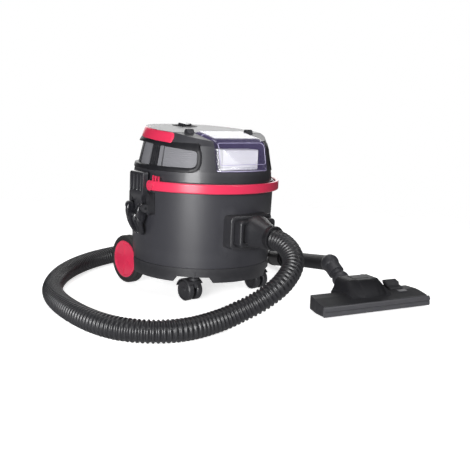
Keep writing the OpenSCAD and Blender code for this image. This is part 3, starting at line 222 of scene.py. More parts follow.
@dataclass
class Graph:
    """Shorthand for adding and joining the nodes of one tree."""

    tree: bpy.types.NodeTree

    def feed(self, node: bpy.types.Node, inputs: dict[str | int, object]) -> None:
        """Gives each named input of a node its constant, or joins it to a socket.

        Args:
            node: The node.
            inputs: A constant or a socket for each input, by its name or its place.
        """
        for name, value in inputs.items():
            if isinstance(value, bpy.types.NodeSocket):
                self.tree.links.new(value, node.inputs[name])
            else:
                node.inputs[name].default_value = value

    def node(self, kind: str, inputs: dict[str | int, object] | None = None,
             **settings: object) -> bpy.types.Node:
        """Adds a node.

        Args:
            kind: Its type, without the leading ShaderNode.
            inputs: A constant or a socket for each input that is set.
            settings: Its other settings.

        Returns:
            The new node.
        """
        node = self.tree.nodes.new(f"ShaderNode{kind}")
        for name, value in settings.items():
            setattr(node, name, value)
        self.feed(node, inputs or {})
        return node

    def place(self) -> bpy.types.NodeSocket:
        """Position on the object, in its own axes."""
        return self.node("TexCoord").outputs["Object"]

    def noise(self, scale: object, detail: float = 2.0, roughness: float = 0.5) -> bpy.types.NodeSocket:
        """Noise over the object, from 0 to 1."""
        inputs = {"Vector": self.place(), "Scale": scale, "Detail": detail, "Roughness": roughness}
        return self.node("TexNoise", inputs).outputs["Fac"]

    def math(self, operation: str, *values: object) -> bpy.types.NodeSocket:
        """Result of a sum on constants and sockets."""
        return self.node("Math", dict(enumerate(values)), operation=operation).outputs[0]

    def product(self, *values: object) -> bpy.types.NodeSocket:
        """Product of three values."""
        return self.math("MULTIPLY", self.math("MULTIPLY", *values[:2]), values[2])

    def ramp(self, value: object, given: tuple[float, float] = (0.0, 1.0),
             wanted: tuple[float, float] = (0.0, 1.0), smooth: bool = False) -> bpy.types.NodeSocket:
        """Maps one range of a value onto another, and holds it at the ends.

        Args:
            value: The value, as a constant or a socket.
            given: The range that comes in.
            wanted: The range that goes out.
            smooth: Whether the change eases in and out.

        Returns:
            The socket with the mapped value.
        """
        inputs = {"Value": value, "From Min": given[0], "From Max": given[1],
                  "To Min": wanted[0], "To Max": wanted[1]}
        shape = "SMOOTHSTEP" if smooth else "LINEAR"
        return self.node("MapRange", inputs, interpolation_type=shape).outputs["Result"]

    def blend(self, factor: bpy.types.NodeSocket, first: object, second: object) -> bpy.types.NodeSocket:
        """Blends two colours.

        Args:
            factor: How much of the second one shows.
            first: A colour or a socket.
            second: A colour or a socket.

        Returns:
            The socket with the blended colour.
        """
        node = self.node("Mix", data_type="RGBA")
        self.tree.links.new(factor, node.inputs["Factor"])
        for sock, value in zip((s for s in node.inputs if s.type == "RGBA"), (first, second)):
            if isinstance(value, bpy.types.NodeSocket):
                self.tree.links.new(value, sock)
            else:
                sock.default_value = (*value, 1.0)
        return next(s for s in node.outputs if s.type == "RGBA")

    def effect(self, effects: EffectLibrary, effect: Effect, **values: float) -> bpy.types.NodeSocket:
        """Places one shared effect with its own values.

        Args:
            effects: The library that holds the node groups.
            effect: Which effect.
            values: A value for each of its inputs.

        Returns:
            The effect's output.
        """
        node = self.node("Group", node_tree=effects.groups[effect])
        self.feed(node, values)
        return node.outputs[0]


class EffectLibrary:
    """Builds each shared effect once, as a shader node group."""

    def __init__(self) -> None:
        """Makes the groups."""
        self.groups: dict[Effect, bpy.types.NodeTree] = {
            Effect.GRAIN: self._grain(),
            Effect.EDGE_WEAR: self._edge_wear(),
            Effect.DUST: self._dust(),
            Effect.SMUDGE: self._smudge(),
        }

    @staticmethod
    def _new(effect: Effect, inputs: dict[str, float],
             output: str) -> tuple[Graph, bpy.types.NodeInputs, bpy.types.Node]:
        """Makes a group with float inputs and one float output.

        Args:
            effect: The effect that it is for.
            inputs: Name and starting value of each input.
            output: Name of the output.

        Returns:
            Its graph, the sockets that bring its inputs, and the node that takes its output.
        """
        tree = bpy.data.node_groups.new(effect.value, "ShaderNodeTree")
        for name, value in inputs.items():
            sock = tree.interface.new_socket(name=name, in_out="INPUT", socket_type="NodeSocketFloat")
            sock.default_value = value
        tree.interface.new_socket(name=output, in_out="OUTPUT", socket_type="NodeSocketFloat")
        return Graph(tree), tree.nodes.new("NodeGroupInput").outputs, tree.nodes.new("NodeGroupOutput")

    def _grain(self) -> bpy.types.NodeTree:
        """Fine spark-eroded grain of a moulding.

        Returns:
            The group, which puts out a height.
        """
        g, given, end = self._new(Effect.GRAIN, {"Scale": 900.0, "Depth": 1.0}, "Height")
        noise = g.noise(given["Scale"], 3.0, 0.55)
        cells = g.node("TexVoronoi", {"Vector": g.place(), "Scale": given["Scale"]}).outputs["Distance"]
        both = g.math("MULTIPLY_ADD", noise, 0.7, cells)
        g.feed(end, {"Height": g.math("MULTIPLY", both, given["Depth"])})
        return g.tree

    def _edge_wear(self) -> bpy.types.NodeTree:
        """Wear on convex edges, broken up by noise.

        Returns:
            The group, which puts out a mask.
        """
        g, given, end = self._new(Effect.EDGE_WEAR, {"Amount": 0.3, "Scale": 60.0}, "Mask")
        convex = g.ramp(g.node("NewGeometry").outputs["Pointiness"], (0.52, 0.62))
        g.feed(end, {"Mask": g.product(convex, g.noise(given["Scale"], 4.0, 0.55), given["Amount"])})
        return g.tree

    def _dust(self) -> bpy.types.NodeTree:
        """Thin film on faces that look up.

        Returns:
            The group, which puts out a mask.
        """
        g, given, end = self._new(Effect.DUST, {"Amount": 0.15, "Scale": 14.0}, "Mask")
        split = g.node("SeparateXYZ", {"Vector": g.node("NewGeometry").outputs["Normal"]})
        up = g.ramp(split.outputs["Z"], (0.2, 1.0))
        g.feed(end, {"Mask": g.product(up, g.noise(given["Scale"], 5.0, 0.65), given["Amount"])})
        return g.tree

    def _smudge(self) -> bpy.types.NodeTree:
        """Soft change of gloss where hands and floors have rubbed.

        Returns:
            The group, which puts out a roughness.
        """
        g, given, end = self._new(Effect.SMUDGE, {"Base": 0.4, "Spread": 0.08, "Scale": 22.0}, "Roughness")
        centred = g.math("SUBTRACT", g.noise(given["Scale"], 4.0, 0.6), 0.5)
        g.feed(end, {"Roughness": g.math("MULTIPLY_ADD", centred, given["Spread"], given["Base"])})
        return g.tree


def new_material(name: str) -> tuple[bpy.types.Material, Graph, bpy.types.Node]:
    """Makes a material with a plain shader.

    Args:
        name: Name of the material.

    Returns:
        The material, its graph and its shader node.
    """
    mat = bpy.data.materials.new(name)
    mat.use_nodes = True
    return mat, Graph(mat.node_tree), mat.node_tree.nodes["Principled BSDF"]


# ---------------------------------------------------------------- finishes


@dataclass(frozen=True)
class Finish:
    """A moulded, cast or woven surface, and how it varies."""

    GRAIN_HEIGHT: ClassVar[float] = 0.0002

    name: str
    colour: tuple[float, float, float]
    roughness: float = 0.4
    spread: float = 0.08
    metallic: float = 0.0
    coat: float = 0.0
    specular: float = 0.5
    sheen: float = 0.0
    grain_scale: float = 900.0
    grain_depth: float = 0.25
    wear: float = 0.25
    wear_colour: tuple[float, float, float] = (0.16, 0.16, 0.17)
    dust: float = 0.04
    dust_colour: tuple[float, float, float] = (0.30, 0.29, 0.27)
    mottling: float = 0.12

    def build(self, effects: EffectLibrary) -> bpy.types.Material:
        """Makes the material.

        Args:
            effects: The shared node groups.

        Returns:
            The new material.
        """
        mat, g, shader = new_material(self.name)
        dark = tuple(c * (1.0 - self.mottling) for c in self.colour)
        light = tuple(min(1.0, c * (1.0 + self.mottling)) for c in self.colour)
        base = g.blend(g.noise(9.0, 5.0), dark, light)
        base = g.blend(g.effect(effects, Effect.EDGE_WEAR, Amount=self.wear), base, self.wear_colour)
        base = g.blend(g.effect(effects, Effect.DUST, Amount=self.dust), base, self.dust_colour)
        grain = g.effect(effects, Effect.GRAIN, Scale=self.grain_scale, Depth=1.0)
        bump = g.node("Bump", {"Strength": self.grain_depth, "Distance": self.GRAIN_HEIGHT, "Height": grain})
        g.feed(shader, {
            "Metallic": self.metallic, "Specular IOR Level": self.specular, "Sheen Weight": self.sheen,
            "Coat Weight": self.coat, "Coat Roughness": 0.12, "Base Color": base,
            "Roughness": g.effect(effects, Effect.SMUDGE, Base=self.roughness, Spread=self.spread),
            "Normal": bump.outputs["Normal"]})
        return mat


@dataclass(frozen=True)
class ClearFinish:
    """Thin transparent moulding with a faint tint, which gets more mirror-like towards its edges."""

    name: str
    tint: tuple[float, float, float]
    facing: float = 0.05
    grazing: float = 0.78
    roughness: float = 0.06
    rim_width: float = 0.32
    shadow: float = 0.12

    def build(self, effects: EffectLibrary) -> bpy.types.Material:
        """Makes the material.

        Args:
            effects: The shared node groups.

        Returns:
            The new material.
        """
        mat, g, shader = new_material(self.name)
        faint = tuple(c * 0.9 for c in self.tint)
        rim = g.node("LayerWeight", {"Blend": self.rim_width}).outputs["Facing"]
        in_shadow = g.node("LightPath").outputs["Is Shadow Ray"]
        cover = g.ramp(rim, wanted=(self.facing, self.grazing))
        g.feed(shader, {
            "IOR": 1.58, "Specular IOR Level": 1.0, "Coat Weight": 1.0, "Coat Roughness": 0.03,
            "Roughness": g.effect(effects, Effect.SMUDGE, Base=self.roughness, Spread=0.04, Scale=30.0),
            "Base Color": g.blend(g.noise(6.0), faint, self.tint),
            "Alpha": g.math("MULTIPLY", cover, g.ramp(in_shadow, wanted=(1.0, self.shadow)))})
        return mat


@dataclass
class Palette:
    """All finishes of the cleaner, by the record's slot."""

    effects: EffectLibrary
    made: dict[str, bpy.types.Material] = field(default_factory=dict)

    FINISHES = (
        Finish("tank_plastic", (0.031, 0.031, 0.037), roughness=0.40, grain_scale=1100, grain_depth=0.35),
        Finish("head_plastic", (0.024, 0.024, 0.029), roughness=0.43, coat=0.12, grain_scale=1100,
               grain_depth=0.20),
        Finish("black_plastic", (0.016, 0.016, 0.019), roughness=0.42, grain_depth=0.30),
        Finish("tube_black", (0.010, 0.010, 0.012), roughness=0.55, specular=0.22, grain_depth=0.15,
               dust=0.01),
        # pale finish of the cover's lines: a painted highlight along the border bead and the hood's rounded
        # edge
        Finish("painted_highlight_rim", (0.62, 0.58, 0.80), roughness=0.25, grain_depth=0.0, wear=0.0, dust=0.0,
               coat=0.5),
        Finish("elbow_black", (0.034, 0.034, 0.040), roughness=0.5, grain_depth=0.2, dust=0.02),
        Finish("frame_black", (0.004, 0.004, 0.006), roughness=0.45, specular=0.30, grain_depth=0.05,
               dust=0.01),
        # light grey on black vent plastic: a painted reflection
        Finish("vent_painted_reflection", (0.19, 0.19, 0.205), roughness=0.36, grain_depth=0.15),
        Finish("latch_black", (0.020, 0.020, 0.024), roughness=0.30, grain_depth=0.15, coat=0.15),
        Finish("blackened_steel", (0.03, 0.03, 0.033), roughness=0.45, metallic=0.8, grain_depth=0.1,
               wear=0.0, dust=0.02),
        Finish("gloss_black", (0.010, 0.010, 0.013), roughness=0.22, grain_depth=0.08, coat=0.2),
        Finish("hose_plastic", (0.012, 0.012, 0.014), roughness=0.36, grain_depth=0.08, wear=0.12),
        Finish("wheel_plastic", (0.018, 0.018, 0.021), roughness=0.45),
        Finish("red_plastic", (0.66, 0.030, 0.085), roughness=0.30, grain_depth=0.12, wear=0.10,
               wear_colour=(0.85, 0.22, 0.28), mottling=0.05, dust=0.05, coat=0.15),
        Finish("grey_plastic", (0.085, 0.086, 0.093), roughness=0.38, grain_depth=0.20),
        Finish("seal_rubber", (0.012, 0.012, 0.012), roughness=0.7, grain_depth=0.3),
        Finish("bumper_rubber", (0.050, 0.050, 0.056), roughness=0.42, grain_depth=0.25),
        Finish("tyre", (0.014, 0.014, 0.015), roughness=0.62, grain_scale=500, grain_depth=0.4, dust=0.2),
        Finish("steel", (0.55, 0.55, 0.56), roughness=0.32, metallic=1.0, grain_depth=0.1, wear=0.0,
               dust=0.05),
        Finish("motor_metal", (0.55, 0.56, 0.58), roughness=0.45, metallic=1.0, grain_depth=0.3, wear=0.0),
        Finish("filter_paper", (0.72, 0.68, 0.58), roughness=0.9, grain_scale=1500, grain_depth=0.5,
               wear=0.0, sheen=0.1),
        Finish("filter_cloth", (0.90, 0.90, 0.92), roughness=0.85, grain_scale=1800, grain_depth=0.5,
               wear=0.0, sheen=0.15, mottling=0.04, dust=0.05),
        Finish("bristle", (0.014, 0.014, 0.014), roughness=0.7, grain_scale=2500, grain_depth=0.8),
        ClearFinish("clear_plastic", (0.15, 0.12, 0.29)),
    )

    def build(self) -> None:
        """Makes every material."""
        for finish in self.FINISHES:
            self.made[finish.name] = finish.build(self.effects)

    def dress(self, piece: bpy.types.Object, slot: str) -> None:
        """Gives a piece one finish in all its slots."""
        piece.data.materials.clear()
        piece.data.materials.append(self.made[slot])


def show(piece: bpy.types.Object, palette: Palette, finish: str, slot: str, body: str, *hidden: str) -> None:
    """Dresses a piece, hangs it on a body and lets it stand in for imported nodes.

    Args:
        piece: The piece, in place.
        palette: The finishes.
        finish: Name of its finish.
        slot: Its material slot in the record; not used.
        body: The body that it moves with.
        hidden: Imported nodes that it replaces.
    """
    palette.dress(piece, finish)
    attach(piece, body)
    for node in hidden:
        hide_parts(node)
    log.info("piece %s: %d faces, %s, on %s", piece.name, len(piece.data.polygons), finish, body)


# ---------------------------------------------------------------- hose


@dataclass
class Hose:
    """Ribbed hose that leaves the inlet, lies round the cleaner and ends in the cuff of the hand tube."""

    palette: Palette
    outer_r: float = 22.0
    groove: float = 2.8
    pitch: float = 9.0
    sides: int = 28
    tube_end: tuple[float, float, float] = (222.45, -215.5, 70.0)
    route: tuple[tuple[float, float, float], ...] = (
        (0, -232, 155), (0, -255, 154), (-2, -279, 150), (-8, -303, 142), (-18, -325, 130),
        (-35, -342, 116), (-58, -352, 101), (-84, -356, 85), (-109, -351, 69), (-133, -342, 54.5),
        (-160, -330, 41), (-192, -322, 30), (-231, -318, 24), (-270, -317, 22.5), (-306, -309, 22.5),
        (-336, -293, 22.5), (-361, -269, 22.5), (-380, -237, 22.5), (-391, -196, 22.5), (-395, -148, 22.5),
        (-393, -96, 22.5), (-386, -42, 22.5), (-374, 8, 22.5), (-356, 56, 22.5), (-331, 101, 22.5),
        (-299, 146, 22.5), (-260, 190, 22.5), (-211, 233, 22.5), (-155, 270, 22.5), (-95, 298, 22.5),
        (-28, 318, 22.5), (44, 329, 22.5), (116, 330, 22.5), (184, 318, 22.5), (244, 292, 22.5),
        (292, 252, 22.5), (320, 203, 22.5), (328, 152, 22.5), (322, 108, 22.5), (308, 66, 24.5),
    )
    steps: int = 12
    rib: tuple[tuple[float, float], ...] = (
        (0.0, 0.0), (0.16, 0.02), (0.25, 0.55), (0.34, 0.90), (0.50, 1.0), (0.66, 0.90), (0.75, 0.55),
        (0.84, 0.02))
    square_end: float = 0.01

    def point(self, i: int) -> Vector:
        """Route point i in the row frame, held at the ends."""
        return at(*self.route[max(0, min(len(self.route) - 1, i))])

    def line(self) -> list[Vector]:
        """Smooth middle line through the route, finely divided.

        Returns:
            Points along it, in metres.
        """
        out: list[Vector] = []
        for i in range(len(self.route) - 1):
            a, b, c, d = (self.point(i + k) for k in (-1, 0, 1, 2))
            for k in range(self.steps):
                t = k / self.steps
                out.append(0.5 * (2 * b + (c - a) * t + (2 * a - 5 * b + 4 * c - d) * t**2
                                  + (3 * b - a - 3 * c + d) * t**3))
        out.append(self.point(len(self.route) - 1))
        return out

    @staticmethod
    def lengths(line: Sequence[Vector]) -> list[float]:
        """Measures along a line.

        Args:
            line: Points of the line.

        Returns:
            Distance from its start at each point.
        """
        out = [0.0]
        for a, b in zip(line, line[1:]):
            out.append(out[-1] + (b - a).length)
        return out

    def build(self) -> tuple[bpy.types.Object, list[Vector], float]:
        """Makes the ribbed tube.

        Returns:
            The piece, its middle line and its length in metres.
        """
        line = self.line()
        run = self.lengths(line)
        total = run[-1]
        end_dir = (at(*self.tube_end) - line[-1]).normalized()
        start_dir = Vector((0, -1, 0))

        def frame(s: float) -> tuple[Vector, Vector, Vector]:
            """Cross-section's place and directions.

            Args:
                s: Distance along the line, in metres.

            Returns:
                The centre, and two directions across the line.
            """
            s = min(max(s, 0.0), total)
            lo, hi = 0, len(run) - 1
            while hi - lo > 1:
                mid = (lo + hi) // 2
                lo, hi = (mid, hi) if run[mid] <= s else (lo, mid)
            t = (s - run[lo]) / (run[hi] - run[lo])
            centre = line[lo].lerp(line[hi], t)
            here = (line[hi] - line[max(lo - 1, 0)]).normalized()
            ahead = (line[min(hi + 1, len(line) - 1)] - line[lo]).normalized()
            along = here.lerp(ahead, t).normalized()
            if s < self.square_end:
                along = start_dir.lerp(along, s / self.square_end).normalized()
            if total - s < self.square_end:
                along = end_dir.lerp(along, (total - s) / self.square_end).normalized()
            side = along.cross(Vector((0, 0, 1))).normalized()
            return centre, side, side.cross(along)

        turns = int(total / (self.pitch * MM))
        step = total / turns
        rings = []
        for number in range(turns):
            for phase, lift in self.rib:
                centre, side, up = frame((number + phase) * step)
                r = (self.outer_r - self.groove * (1.0 - lift)) * MM
                rings.append([centre + r * (c * side + s * up) for c, s in turn(self.sides)])
        return loft("ribbed_hose", rings, 80), line, total

    def place(self, nodes: dict[str, bpy.types.Object]) -> None:
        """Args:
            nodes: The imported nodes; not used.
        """
        piece, line, total = self.build()
        show(piece, self.palette, "hose_plastic", "hose_plastic", "tank", "hose")
        log.info("hose: %.3f m along its middle", total)


# ---------------------------------------------------------------- filter cover


@dataclass
class FilterCover:
    """Clear hood over the exhaust filter: a rounded thin shell with a sunk front and a raised border line.
    Two pale lines on it paint the highlights along the border bead and along the hood's rounded edge.
    """

    palette: Palette
    half_w: float = 77.0
    back_y: float = -60.0
    low_z: float = 287.3
    hinge_y: float = -56.0
    hinge_z: float = 369.2
    top_slope: float = 12.5
    nose_y: float = -133.0
    nose_z: float = 352.2
    nose_slope: float = 63.0
    foot_r: float = 161.4
    foot_z: float = 283.0
    shoulder_r: float = 150.0
    edge_r: float = 16.0
    nose_blend: float = 3.0
    wall: float = 2.2
    border: float = 11.0
    sink: float = 1.3
    bead: float = 0.9
    tab_r: float = 9.0

    def height_over(self, x: float, y: float, z: float) -> float:
        """How far a point lies outside the rounded form.

        Args:
            x: Millimetres along X.
            y: Millimetres behind the axis.
            z: Millimetres above the floor.

        Returns:
            Millimetres, below zero inside the form.
        """
        top, nose = math.radians(self.top_slope), math.radians(self.nose_slope)
        over_top = (z - self.hinge_z) * math.cos(top) - (y - self.hinge_y) * math.sin(top)
        over_nose = (z - self.nose_z) * math.cos(nose) - (y - self.nose_y) * math.sin(nose)
        lean = (self.foot_r - self.shoulder_r) / (self.nose_z - self.foot_z)
        over_wall = math.hypot(x, y) - (self.foot_r - (z - self.foot_z) * lean)
        k = self.nose_blend
        high = max(over_nose, over_wall)
        blend = math.log(math.exp((over_nose - high) / k) + math.exp((over_wall - high) / k))
        front = high + k * blend - k * math.log(2) * math.exp(-abs(over_nose - over_wall) / k)
        side = abs(x) - self.half_w
        r = self.edge_r
        return math.sqrt(sum(max(0.0, g + r) ** 2 for g in (over_top, front, side))) - r

    def reach(self, x: float, angle: float) -> float:
        """Distance from the hood's back lower edge to its surface.

        Args:
            x: Slice across the hood, in millimetres.
            angle: Angle upwards from straight ahead, in radians.

        Returns:
            The distance in millimetres.
        """
        dy, dz = -math.cos(angle), math.sin(angle)
        low, high = 0.0, 200.0
        for _ in range(30):
            mid = (low + high) / 2
            if self.height_over(x, self.back_y + mid * dy, self.low_z + mid * dz) < 0:
                low = mid
            else:
                high = mid
        return low

    def relief(self, x: float, y: float, z: float) -> float:
        """Height of the sunk panel and its border line at a point of the surface.

        Args:
            x: Millimetres along X.
            y: Millimetres behind the axis.
            z: Millimetres above the floor.

        Returns:
            Millimetres outwards, below zero where the panel is sunk.
        """
        down = self.nose_z - 1.0 - z
        inside = min(self.half_w - self.border - abs(x), down - 2.0, z - (self.low_z + self.border - 1.0))
        step = min(1.0, max(0.0, (inside + 0.8) / 1.6))
        line = math.exp(-((inside + 1.2) / 0.9) ** 2)
        tab = abs(math.hypot(x, z - self.low_z - 1.0) - self.tab_r)
        arc = math.exp(-(tab / 0.9) ** 2) if z < self.low_z + self.border - 2.5 else 0.0
        return -self.sink * step * step * (3 - 2 * step) + self.bead * line + self.bead * arc

    def shell(self) -> bpy.types.Object:
        """Makes the hood, open behind and below.

        Returns:
            The hood, with its wall as a modifier.
        """
        half, cols = self.half_w, 110
        flat = [-half + self.edge_r + k * (2 * half - 2 * self.edge_r) / 120 for k in range(121)]
        edge = [-half + self.edge_r * (1 - math.cos(math.pi / 2 * k / 10)) for k in range(10)]
        xs = edge + flat + [-x for x in reversed(edge)]
        verts: list[Vector] = []
        faces: list[tuple[int, ...]] = []
        for x in xs:
            verts += [self.spot(x, 90.0 * j / cols) for j in range(cols + 1)]
        wide = cols + 1
        for i in range(len(xs) - 1):
            for j in range(cols):
                faces.append((i * wide + j, i * wide + j + 1, (i + 1) * wide + j + 1, (i + 1) * wide + j))
        for row, x in ((0, xs[0]), (len(xs) - 1, xs[-1])):
            last = [row * wide + j for j in range(wide)]
            for share in (0.66, 0.33, 0.0):
                fresh = []
                for j in range(wide):
                    v = verts[row * wide + j]
                    c = at(x, self.back_y, self.low_z)
                    verts.append(c + (v - c) * max(share, 0.02))
                    fresh.append(len(verts) - 1)
                for j in range(cols):
                    quad = (last[j], last[j + 1], fresh[j + 1], fresh[j])
                    faces.append(quad if row else tuple(reversed(quad)))
                last = fresh
        piece = mesh_piece("clear_cover", verts, faces, 60)
        thick = piece.modifiers.new("wall", "SOLIDIFY")
        thick.thickness = self.wall * MM
        thick.offset = -1.0
        return piece

    def spot(self, x: float, angle: float, lift: float = 0.0) -> Vector:
        """Point of the hood's surface.

        Args:
            x: Slice across the hood, in millimetres.
            angle: Angle upwards from straight ahead, in degrees.
            lift: Millimetres that it stands off the surface.

        Returns:
            The point in metres.
        """
        a = math.radians(angle)
        r = self.reach(x, a)
        y, z = self.back_y - r * math.cos(a), self.low_z + r * math.sin(a)
        r += self.relief(x, y, z) + lift
        return at(x, self.back_y - r * math.cos(a), self.low_z + r * math.sin(a))

    def bead_line(self, name: str, path: Sequence[tuple[float, float]], radius: float) -> bpy.types.Object:
        """Makes a fine raised line on the surface, joined end to end.

        Args:
            name: Name of the piece.
            path: Slice and angle of each point.
            radius: Radius in millimetres.

        Returns:
            The piece.
        """
        points = [self.spot(x, a, 0.1) for x, a in path]
        n = len(points)
        rings = []
        for i in range(n):
            along = (points[(i + 1) % n] - points[i - 1]).normalized()
            side = along.cross(Vector((0.0, -0.5, 0.86))).normalized()
            up = side.cross(along)
            rings.append([points[i] + radius * MM * (c * side + s * up) for c, s in turn(8)])
        rings.append(rings[0])
        return loft(name, rings, 180.0, capped=False)

    def frame_path(self, half: float, low: float, high: float, corner: float) -> list[tuple[float, float]]:
        """Rounded rectangle on the surface.

        Args:
            half: Half its width, in millimetres.
            low: Angle of its lower side, in degrees.
            high: Angle of its upper side, in degrees.
            corner: Radius of its corners, in millimetres at the front.

        Returns:
            Slice and angle of each point.
        """
        bend = corner * 0.6
        out: list[tuple[float, float]] = []
        for cx, ca, start in ((half - corner, high - bend, 0), (-half + corner, high - bend, 90),
                              (-half + corner, low + bend, 180), (half - corner, low + bend, 270)):
            for k in range(7):
                b = math.radians(start + 15 * k)
                out.append((cx + corner * math.cos(b), ca + bend * math.sin(b)))
        dense: list[tuple[float, float]] = []
        for i, (x0, a0) in enumerate(out):
            x1, a1 = out[(i + 1) % len(out)]
            steps = max(1, int(max(abs(x1 - x0) / 3.0, abs(a1 - a0) / 1.5)))
            dense += [(x0 + (x1 - x0) * k / steps, a0 + (a1 - a0) * k / steps) for k in range(steps)]
        return dense

    def build(self) -> None:
        """Makes the hood and the lines on it; the lines' pale finish paints the highlights along the border
        bead and the hood's rounded edge.
        """
        show(self.shell(), self.palette, "clear_plastic", "clear_plastic", "cover", "filter_cover")
        for name, half, low, high, corner in (("cover_line_inner", 66.0, 9.5, 42.0, 7.0),
                                              ("cover_line_outer", 75.0, 1.2, 76.0, 8.0)):
            # the pale lines paint the highlights of the border bead (inner line) and of the hood's rounded
            # edge (outer line)
            line = self.bead_line(name, self.frame_path(half, low, high, corner), 0.75)
            show(line, self.palette, "painted_highlight_rim", "clear_plastic", "cover")


# ---------------------------------------------------------------- inlet


@dataclass
class InletHousing:
    """Stepped housing on the tank's front with a tapering, peaked collar and the hose's socket."""

    palette: Palette
    width: float = 118.0
    height: float = 74.0
    mid_z: float = 159.5
    bore_z: float = 155.0
    base_r: float = 187.0
    block_y: float = -199.5
    collar_y: float = -192.0
    collar_end_y: float = -244.0
    lip_y: float = -252.0
    socket_r: float = 25.0

    def housing(self) -> bpy.types.Object:
        """Makes the base that follows the wall, and the block on it with its raised border.

        Returns:
            The housing.
        """
        steps = ((0, 11, 163, None), (0, 11, 184.8, None), (0.5, 11, 186.3, None),
                 (1.8, 10, self.base_r, None), (6.6, 8, self.base_r, None), (7.2, 8, 185.6, None),
                 (8.0, 8, 185.6, None), (8.2, 8, 188.0, None), (8.4, 8, None, -195.5),
                 (8.9, 7.8, None, -197.8), (10.2, 7.2, None, -199.2), (12.0, 6.5, None, self.block_y),
                 (15.5, 5.5, None, self.block_y), (17.0, 5.0, None, -198.4), (17.8, 5.0, None, -196.5),
                 (18.0, 5.0, None, -193.0), (20.0, 4.0, None, -192.6))
        rings = []
        for inset, corner, radius, flat in steps:
            ring = []
            for x, z in rounded_rect(self.width - 2 * inset, self.height - 2 * inset, corner, 6, 12):
                y = flat if radius is None else -math.sqrt(max(radius**2 - x**2, 0.0))
                ring.append(at(x, y, self.mid_z + z))
            rings.append(ring)
        return loft("inlet_housing", rings, 34)

    def collar(self) -> bpy.types.Object:
        """Makes the collar: broad and peaked at the housing, round at the socket.

        Returns:
            The collar.
        """
        stations = ((-0.02, 0.96), (0.0, 1.0), (0.10, 1.0), (0.16, 0.985), (0.3, 0.9), (0.5, 0.8),
                    (0.7, 0.72), (0.86, 0.67), (0.9, 0.655), (0.905, 0.62), (1.0, 0.60))
        rings = []
        for t, size in stations:
            share = max(0.0, min(1.0, t))
            y = self.collar_y + share * (self.collar_end_y - self.collar_y)
            z0 = self.mid_z + (self.bore_z - self.mid_z) * share
            ring = []
            for k in range(56):
                a = math.tau * k / 56
                power = 3.4 - 1.4 * share
                half_w, half_h = 33.0 * size + 3.0 * share, 33.0 * size + 4.0 * share
                r = (abs(math.cos(a) / half_w) ** power + abs(math.sin(a) / half_h) ** power) ** (-1 / power)
                peak = max(0.0, 1.0 - abs(math.degrees(a) - 90.0) / 52.0) * 5.0 * (1.0 - share)
                ring.append(at((r + peak) * math.cos(a), y, z0 + (r + peak) * math.sin(a)))
            rings.append(ring)
        return loft("inlet_collar", rings, 34)

    def socket(self) -> bpy.types.Object:
        """Makes the socket that the hose comes out of, with a rolled lip.

        Returns:
            The socket.
        """
        r = self.socket_r
        steps = ((-222, r - 1.0), (-242, r), (-248, r + 0.2), (-249, r + 1.6), (-250.5, r + 2.0),
                 (self.lip_y, r + 1.6), (self.lip_y - 0.6, r), (self.lip_y - 0.3, r - 2.2), (-246, r - 2.6))
        rings = [[at(q * c, y, self.bore_z + q * s) for c, s in turn(48)] for y, q in steps]
        return loft("hose_socket", rings, 40)

    def build(self) -> None:
        """Makes and dresses the pieces."""
        for piece, finish, slot, hidden in (
                (self.housing(), "black_plastic", "tank_plastic", ("inlet_flange", "inlet_screws")),
                (self.collar(), "black_plastic", "tank_plastic", ()),
                (self.socket(), "hose_plastic", "hose_plastic", ("hose_connector",))):
            show(piece, self.palette, finish, slot, "tank", *hidden)


# ---------------------------------------------------------------- head


@dataclass(frozen=True)
class HeadForm:
    """Outer form of the motor head, given by its radius at a height and the slope of its top."""

    top_slope: float = 4.2
    hinge_y: float = -56.0
    hinge_z: float = 367.0
    levels: tuple[tuple[float, float], ...] = ((260, 161.7), (286, 158.5), (302, 155.5), (341, 148.5),
                                               (349, 143.5), (369, 137.5), (380, 134.0))

    def radius(self, z: float) -> float:
        """Radius of the head at a height."""
        return between(self.levels, z)

    def top(self, y: float) -> float:
        """Height of the head's top plane."""
        return self.hinge_z + (y - self.hinge_y) * math.tan(math.radians(self.top_slope))

    def skin(self, side: int, az: float, z: float, proud: float) -> Vector:
        """Point over the head's skin.

        Args:
            side: 1 towards +X, -1 towards -X.
            az: Angle from the front, in degrees.
            z: Height in millimetres.
            proud: Millimetres outside the skin.

        Returns:
            The point in metres.
        """
        r = self.radius(z) + proud
        a = math.radians(az)
        return at(side * r * math.sin(a), -r * math.cos(a), z)


@dataclass
class SideGrip:
    """Red grip along the shoulder of the head."""

    palette: Palette
    form: HeadForm
    side: int
    mid_az: float = 91.5
    mid_r: float = 143.0
    half_az: float = 26.0
    tall: float = 22.5
    under_top: float = 0.4
    corner: float = 6.0
    proud: float = 2.6
    depth: float = 9.0
    edge: float = 2.4

    def build(self, name: str, hidden: str) -> None:
        """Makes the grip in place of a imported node.

        Args:
            name: Name of the piece.
            hidden: The node that it replaces.
        """
        length = 2 * math.radians(self.half_az) * self.mid_r
        inset = [self.corner * (1 - math.cos(math.pi / 2 * k / 7)) for k in range(8)]
        runs = inset + [length * k / 24 for k in range(3, 22)] + [length - s for s in reversed(inset)]
        rings = []
        for s in runs:
            az = self.mid_az - self.half_az + math.degrees(s / self.mid_r)
            short = self.corner - min(s, length - s)
            squeeze = self.corner - math.sqrt(max(self.corner**2 - short**2, 0.0)) if short > 0 else 0.0
            full = self.form.top(-self.mid_r * math.cos(math.radians(az))) - self.under_top
            high, low, e = full - squeeze, full - self.tall + squeeze, self.edge
            flat = self.proud - min(squeeze, 1.5)
            section = ((low, -self.depth), (low, flat - e), (low + 0.3 * e, flat - 0.3 * e), (low + e, flat),
                       ((low + high) / 2, flat + 0.5), (high - e, flat), (high - 0.3 * e, flat - 0.3 * e),
                       (high, flat - e), (high, -self.depth))
            rings.append([self.form.skin(self.side, az, z, d) for z, d in section])
        show(loft(name, rings, 34), self.palette, "red_plastic", "red_plastic", "head", hidden)


